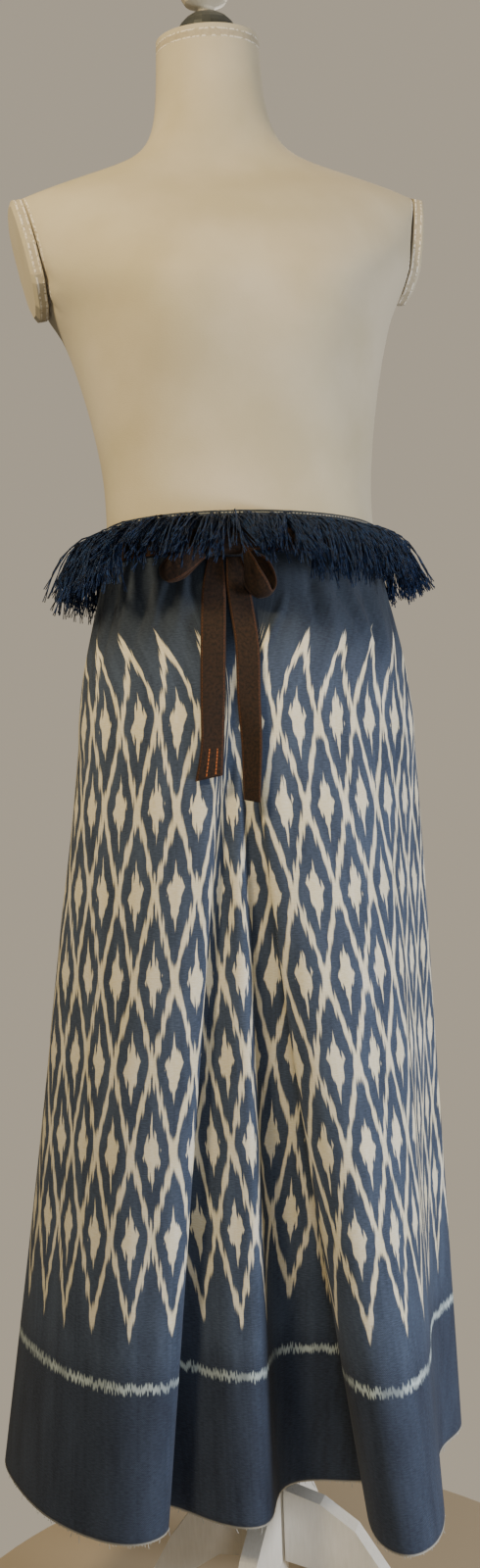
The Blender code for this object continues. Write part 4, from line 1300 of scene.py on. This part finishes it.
@dataclass
class RibbonTie:
    """The ribbon round the waist, tied in a bow: band, knot, two loops and two hanging tails.

    tail_ends gives each tail the slant of its end and where its ribbon map starts.
    """

    cloth: HangingCloth
    finish: RibbedTape
    width: float = 25.0 * MM
    wall: float = 1.1 * MM
    solid_wall: float = 1.5 * MM
    band_standoff: float = 1.65 * MM
    band_columns: int = 260
    band_rows: int = 6
    loop_sections: int = 40
    loop_columns: int = 8
    loop_depth: float = 15.0 * MM
    loop_root_depth: float = 2.4 * MM
    loop_rounding: float = 0.6
    loop_forward: float = 5.0 * MM
    loop_start: float = 0.45 * MM
    loop_pinch: float = 0.62
    loop_tip_from: float = 0.55
    loop_tip: float = 0.55
    loop_bulge: float = 2.2 * MM
    tail_columns: int = 8
    tail_rows: int = 90
    tail_fill: float = 0.985
    tail_ripples: float = 23.0
    tail_ends: dict[TailSide, tuple[float, float]] = field(
        default_factory=lambda: {TailSide.LEFT: (2.4 * MM, 0.0), TailSide.RIGHT: (-1.5 * MM, 0.5)}
    )
    loops: tuple[LoopShape, ...] = (
        LoopShape("left", -1, 0.040, 0.004, 0.023, 0.5 * MM, -0.22),
        LoopShape("right", 1, 0.022, 0.008, 0.040, 5.0 * MM, 0.78),
    )
    material: bpy.types.Material | None = field(default=None, init=False)

    def build(self) -> list[bpy.types.Object]:
        """All pieces of the tie.

        Returns:
            The band, the knot, the loops and the tails.
        """
        self.material = self.finish.material()
        pieces = [self.band(), self.knot()]
        pieces.extend(self.loop(shape) for shape in self.loops)
        pieces.extend(self.tail(side) for side in TailSide)
        return pieces

    def band(self) -> bpy.types.Object:
        """The part that goes round the waist, under the fringe."""
        low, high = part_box("tie_band")
        alongs = self.cloth.even_alongs(self.band_columns, low[2])
        rows = []
        for row in range(self.band_rows + 1):
            height = between(low[2] + 0.2 * MM, high[2] - 0.2 * MM, row / self.band_rows)
            ring = self.cloth.ring(alongs, height)
            normals = self.cloth.normals(ring)
            places = [place + normal * self.band_standoff for place, normal in zip(ring, normals)]
            rows.append([self.cloth.in_frame(place, height) for place in places])
        length = run_lengths(rows[0])[-1]
        sheet = Grid(
            "tie_band_ribbon",
            self.band_columns,
            self.band_rows,
            lambda column, row: rows[row][column % self.band_columns],
            lambda column, row: (row / self.band_rows, 1.0 + length * column / self.band_columns),
            ClothMap.RIBBON,
            closed=True,
        )
        piece = sheet.make(self.material)
        thicken(piece, self.wall)
        return seat(piece, ["tie_band"])

    def knot(self) -> bpy.types.Object:
        """The knot: ribbon wrapped over itself, creased where it pulls through."""
        low, high = (Vector(corner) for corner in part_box("tie_knot"))
        centre, half = (low + high) / 2.0, (high - low) / 2.0
        body = bmesh.new()
        bmesh.ops.create_cube(body, size=2.0)
        bmesh.ops.bevel(body, geom=body.edges[:], offset=0.35, segments=3, profile=0.5, affect="EDGES", material=-1)
        bmesh.ops.subdivide_edges(body, edges=body.edges[:], cuts=3, use_grid_fill=True)
        body = in_fixed_order(body)
        layer = body.loops.layers.uv.new(ClothMap.RIBBON.value)
        for face in body.faces:
            for loop in face.loops:
                corner = loop.vert.co
                loop[layer].uv = (0.5 + 0.42 * corner.x, 0.2 + 0.012 * corner.z + 0.006 * corner.y)
        for vertex in body.verts:
            corner = vertex.co.copy()
            waist = 1.0 - 0.14 * math.exp(-((corner.x / 0.7) ** 2)) * abs(corner.z)
            fold = 0.10 * math.sin(7.0 * corner.x + 2.2 * corner.z) * max(-corner.y, 0.0)
            vertex.co = centre + Vector((corner.x * half.x, (corner.y + fold) * half.y, corner.z * waist * half.z))
        piece = show(body, "tie_knot_ribbon", self.material, sharp=70.0)
        return seat(piece, ["tie_knot"])

    def loop(self, shape: LoopShape) -> bpy.types.Object:
        """One loop, which leaves the knot, turns, and comes back behind itself.

        Args:
            shape: Its side, reach, drop and fall.

        Returns:
            The loop.
        """
        node = f"tie_loop_{shape.name}"
        knot_low, knot_high = (Vector(corner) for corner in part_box("tie_knot"))
        knot = (knot_low + knot_high) / 2.0
        low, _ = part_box(node)
        rest = low[1] + self.loop_depth / 2.0 + self.solid_wall / 2.0
        start = knot.x + shape.side * ((knot_high.x - knot_low.x) / 2.0 + self.loop_start)
        path, leans, widths = [], [], []
        for step in range(self.loop_sections + 1):
            angle = math.pi * step / self.loop_sections
            share = math.sin(angle)
            half = between(self.loop_root_depth, self.loop_depth, smooth(1.4 * share)) / 2.0
            layer = math.copysign(half * abs(math.cos(angle)) ** self.loop_rounding, math.cos(angle))
            middle = between(min(knot.y, rest + self.loop_depth / 4.0), rest, smooth(1.5 * share))
            middle -= self.loop_forward * max(shape.tilt, 0.0) * smooth(1.5 * share)
            parted = shape.parted * smooth(1.6 * share) * layer / half
            height = knot.z - shape.drop - shape.fall * share - parted
            path.append(Vector((start + shape.side * shape.reach * share - parted, middle - layer, height)))
            lean = shape.side * shape.fall / shape.reach * share
            tilt = shape.tilt * smooth(1.6 * share) * math.hypot(lean, 1.0)
            leans.append(Vector((lean, -tilt, 1.0)).normalized())
            turned = max(share - self.loop_tip_from, 0.0) / (1.0 - self.loop_tip_from)
            rounded = 1.0 - self.loop_tip * (1.0 - math.sqrt(1.0 - min(turned, 1.0) ** 2))
            widths.append(between(self.loop_pinch, 1.0, smooth(1.6 * share)) * rounded * self.width)
        length = run_lengths(path)[-1]

        def place(column: int, row: int) -> Vector:
            """A point of the loop's ribbon, which bulges outward between its edges."""
            share = column / self.loop_columns * 2.0 - 1.0
            run = path[min(row + 1, self.loop_sections)] - path[max(row - 1, 0)]
            facing = run.cross(leans[row]).normalized() * shape.side
            bulge = self.loop_bulge * (1.0 - share**2) * math.sin(math.pi * row / self.loop_sections)
            return path[row] + leans[row] * (share * widths[row] / 2.0) + facing * bulge

        sheet = Grid(
            f"{node}_ribbon",
            self.loop_columns,
            self.loop_sections,
            place,
            lambda column, row: (column / self.loop_columns, 0.3 + length * row / self.loop_sections),
            ClothMap.RIBBON,
        )
        piece = sheet.make(self.material)
        thicken(piece, self.wall)
        return seat(piece, [node])

    def tail(self, side: TailSide) -> bpy.types.Object:
        """One hanging end, which follows its solid's own sections from the knot down.

        Args:
            side: Which end.

        Returns:
            The tail.
        """
        node = f"tie_tail_{side.value}"
        levels: dict[float, list[Vector]] = {}
        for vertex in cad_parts[node].data.vertices:
            levels.setdefault(round(vertex.co.z, 4), []).append(vertex.co.copy())
        sections = []
        for height in sorted(levels):
            corners = levels[height]
            centre = sum(corners, Vector()) / len(corners)
            far = max(corners, key=lambda corner: corner.x)
            near = min(corners, key=lambda corner: corner.x)
            half = Vector(((far - near).x, (far - near).y, 0.0)) / 2.0
            sections.append((height, centre, half))
        low, high = sections[0][0], sections[-1][0]
        slant, first = self.tail_ends[side]

        def at(height: float) -> tuple[Vector, Vector]:
            """The centre and half width of the tail at a height."""
            found = (step for step, row in enumerate(sections[1:]) if row[0] >= height)
            index = next(found, len(sections) - 2)
            share = (height - sections[index][0]) / (sections[index + 1][0] - sections[index][0])
            near = [sections[min(max(index + step, 0), len(sections) - 1)] for step in (-1, 0, 1, 2)]
            centre, half = (
                Vector([cubic(*[row[part][axis] for row in near], share) for axis in range(3)]) for part in (1, 2)
            )
            return centre, half

        def place(column: int, row: int) -> Vector:
            """A point of the tail, with a faint ripple along it and a slanted end."""
            share = row / self.tail_rows
            height = between(low, high, share)
            centre, half = at(height)
            across = column / self.tail_columns * 2.0 - 1.0
            cupped = (1.0 - across**2) * 0.5 * MM * math.sin(share * self.tail_ripples)
            point = centre + half * across * self.tail_fill
            return point + Vector((0.0, -cupped, slant * across * smooth(1.0 - share * 6.0)))

        length = high - low
        sheet = Grid(
            f"{node}_ribbon",
            self.tail_columns,
            self.tail_rows,
            place,
            lambda column, row: (column / self.tail_columns, first + length * row / self.tail_rows),
            ClothMap.RIBBON,
        )
        piece = sheet.make(self.material)
        thicken(piece, self.wall)
        return seat(piece, [node])


@dataclass
class DressForm:
    """The limbless form in its jersey cover, with plates at its arms and a cap and knob on top."""

    post: Vector
    levels: int = 2
    neck_rows: tuple[float, ...] = (5.4 * MM, 12.6 * MM)
    arm_rows: tuple[float, ...] = (-7.6 * MM, -2.0 * MM, 2.4 * MM)
    neck_above: float = 1.62
    arms_above: float = 1.37
    flat: float = math.radians(0.5)
    joined: float = math.radians(60.0)
    creased: float = math.radians(50.0)

    def openings(self) -> tuple[StitchPlane, ...]:
        """The cover's neck and arm openings, placed from the post, with their stitch rows."""
        planes = (
            ((-0.018, 0.016, 1.687), (-0.0255, -0.2088, 0.9776), self.neck_rows, self.neck_above),
            ((-0.2032, -0.0299, 1.470), (-0.9550, -0.2030, -0.2164), self.arm_rows, self.arms_above),
            ((0.1783, 0.0512, 1.470), (0.9698, 0.2061, -0.1305), self.arm_rows, self.arms_above),
        )
        return tuple(
            StitchPlane((self.post.x + across, self.post.y + back, height), normal, rows, lowest)
            for (across, back, height), normal, rows, lowest in planes
        )

    def build(self) -> bpy.types.Object:
        """The covered torso, and the finishes of the plates, the cap and the knob.

        Returns:
            The torso's cover.
        """
        material = FormJersey(planes=self.openings()).material()
        body = bmesh.new()
        body.from_mesh(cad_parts["form_torso"].data)
        bmesh.ops.remove_doubles(body, verts=body.verts, dist=MERGED)
        bmesh.ops.dissolve_limit(
            body, angle_limit=self.flat, verts=body.verts, edges=body.edges, delimit={"NORMAL"}
        )
        bmesh.ops.join_triangles(
            body, faces=body.faces, angle_face_threshold=self.joined, angle_shape_threshold=self.joined
        )
        crease = body.edges.layers.float.new("crease_edge")
        for edge in body.edges:
            if len(edge.link_faces) == 2 and edge.calc_face_angle() > self.creased:
                edge[crease] = 1.0
        piece = show(body, "form_cover", material, sharp=60.0)
        rounded = piece.modifiers.new("stretched_cover", "SUBSURF")
        rounded.levels = rounded.render_levels = self.levels
        for node in ("form_arm_cap_left", "form_arm_cap_right"):
            dress(node, material)
        dress("form_neck_cap", CAP_ENAMEL.material())
        dress("form_knob", KNOB_PAINT.material())
        return seat(piece, ["form_torso"])


def dress(node: str, material: bpy.types.Material) -> None:
    """Gives a solid that stays in view its finish."""
    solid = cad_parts[node]
    solid.data.materials.clear()
    solid.data.materials.append(material)
    LOG.info("%s: finished as %s", node, material.name)


@dataclass
class Stand:
    """The turned post and its four shaped board legs, painted white."""

    nodes: tuple[str, ...] = ("stand_post", "stand_leg_1", "stand_leg_2", "stand_leg_3", "stand_leg_4")

    def build(self) -> None:
        """Paints the post and the legs."""
        paint = PAINTED_WOOD.material()
        for node in self.nodes:
            dress(node, paint)


@dataclass(frozen=True)
class Lamp:
    """A soft area light: where it stands and aims, its size, strength and colour."""

    name: str
    place: tuple[float, float, float]
    aim: tuple[float, float, float]
    size: float
    power: float
    colour: str
    spread: float = math.pi


@dataclass
class Studio:
    """Floor, light and camera. The camera stands level at hip height, rolled a little."""

    post: Vector
    frame_height: int = 1600
    focal_pixels: float = 1256.0
    sensor: float = 36.0
    eye_height: float = 0.920
    distance: float = 1.256
    aside: float = -0.011
    roll: float = math.radians(2.0)
    floor_radius: float = 0.40
    floor_colour: str = "C4B193"
    sky: str = "CDC1AC"
    sky_strength: float = 0.29
    backdrop_gain: float = 0.42
    lamps: tuple[Lamp, ...] = (
        Lamp("window", (1.70, -0.95, 0.60), (0.12, 0.0, 0.45), 0.5, 36.0, "F0F3FA"),
        Lamp("front", (0.30, -2.05, 0.85), (0.0, 0.0, 0.80), 0.5, 6.0, "F2F2F0"),
        Lamp("ceiling", (-0.9, -1.4, 2.4), (-0.05, 0.0, 1.30), 0.4, 7.0, "FFE7B8", math.radians(72.0)),
        Lamp("behind", (0.6, 2.0, 2.2), (0.0, 0.0, 1.1), 1.4, 14.0, "FFF6E6"),
    )

    def build(self) -> None:
        """Sets up the floor, the lights and the camera."""
        self.floor()
        self.light()
        self.camera()

    def floor(self) -> None:
        """A plain round floor under the stand."""
        body = bmesh.new()
        bmesh.ops.create_circle(body, cap_ends=True, segments=96, radius=self.floor_radius)
        bmesh.ops.translate(body, verts=body.verts, vec=(self.post.x, self.post.y, 0.0))
        material, _ = plain_material("pale_floor", {"Roughness": 0.7, "Base Color": linear(self.floor_colour)})
        made = show(body, "floor", material)

    def light(self) -> None:
        """An even sky, which is brighter where the camera sees it, and four soft lamps."""
        world = bpy.data.worlds.new("studio")
        world.use_nodes = True
        sky = world.node_tree.nodes["Background"]
        sky.inputs["Color"].default_value = linear(self.sky)
        seen = add_node(world.node_tree, "ShaderNodeLightPath", {}, {}, "Is Camera Ray")
        levels = {0: seen, 1: self.backdrop_gain, 2: self.sky_strength}
        strength = add_node(world.node_tree, "ShaderNodeMath", {"operation": "MULTIPLY_ADD"}, levels)
        world.node_tree.links.new(strength, sky.inputs["Strength"])
        bpy.context.scene.world = world
        for lamp in self.lamps:
            data = bpy.data.lights.new(lamp.name, "AREA")
            data.shape = "DISK"
            data.size = lamp.size
            data.spread = lamp.spread
            data.energy = lamp.power
            data.color = linear(lamp.colour)[:3]
            made = bpy.data.objects.new(lamp.name, data)
            made.location = lamp.place
            way = Vector(lamp.aim) - Vector(lamp.place)
            made.rotation_euler = way.to_track_quat("-Z", "Y").to_euler()
            bpy.context.scene.collection.objects.link(made)

    def camera(self) -> None:
        """The camera, whose frame is taller than it is wide."""
        data = bpy.data.cameras.new("camera")
        data.sensor_width = self.sensor
        data.lens = self.sensor * self.focal_pixels / self.frame_height
        made = bpy.data.objects.new("camera", data)
        made.location = (self.post.x + self.aside, self.post.y - self.distance, self.eye_height)
        made.rotation_euler = (math.radians(90.0), self.roll, 0.0)
        bpy.context.scene.collection.objects.link(made)
        bpy.context.scene.camera = made


def plan_centre(node: str) -> Vector:
    """The middle of a solid in plan."""
    low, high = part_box(node)
    return Vector(((low[0] + high[0]) / 2.0, (low[1] + high[1]) / 2.0))


def main() -> None:
    """Builds the studio and every piece."""
    logging.basicConfig(level=logging.INFO, format="%(name)s %(message)s")
    post = plan_centre("stand_post")
    Studio(post).build()
    cloth = HangingCloth(post)
    skirt = SkirtTube(cloth, IkatCotton())
    tube = skirt.build()
    hem_threads = skirt.frayed()
    fringe = WaistFringe(cloth, FringeYarn()).build()
    RibbonTie(cloth, RibbedTape()).build()
    DressForm(post).build()
    Stand().build()


if __name__ == "__main__":
    main()
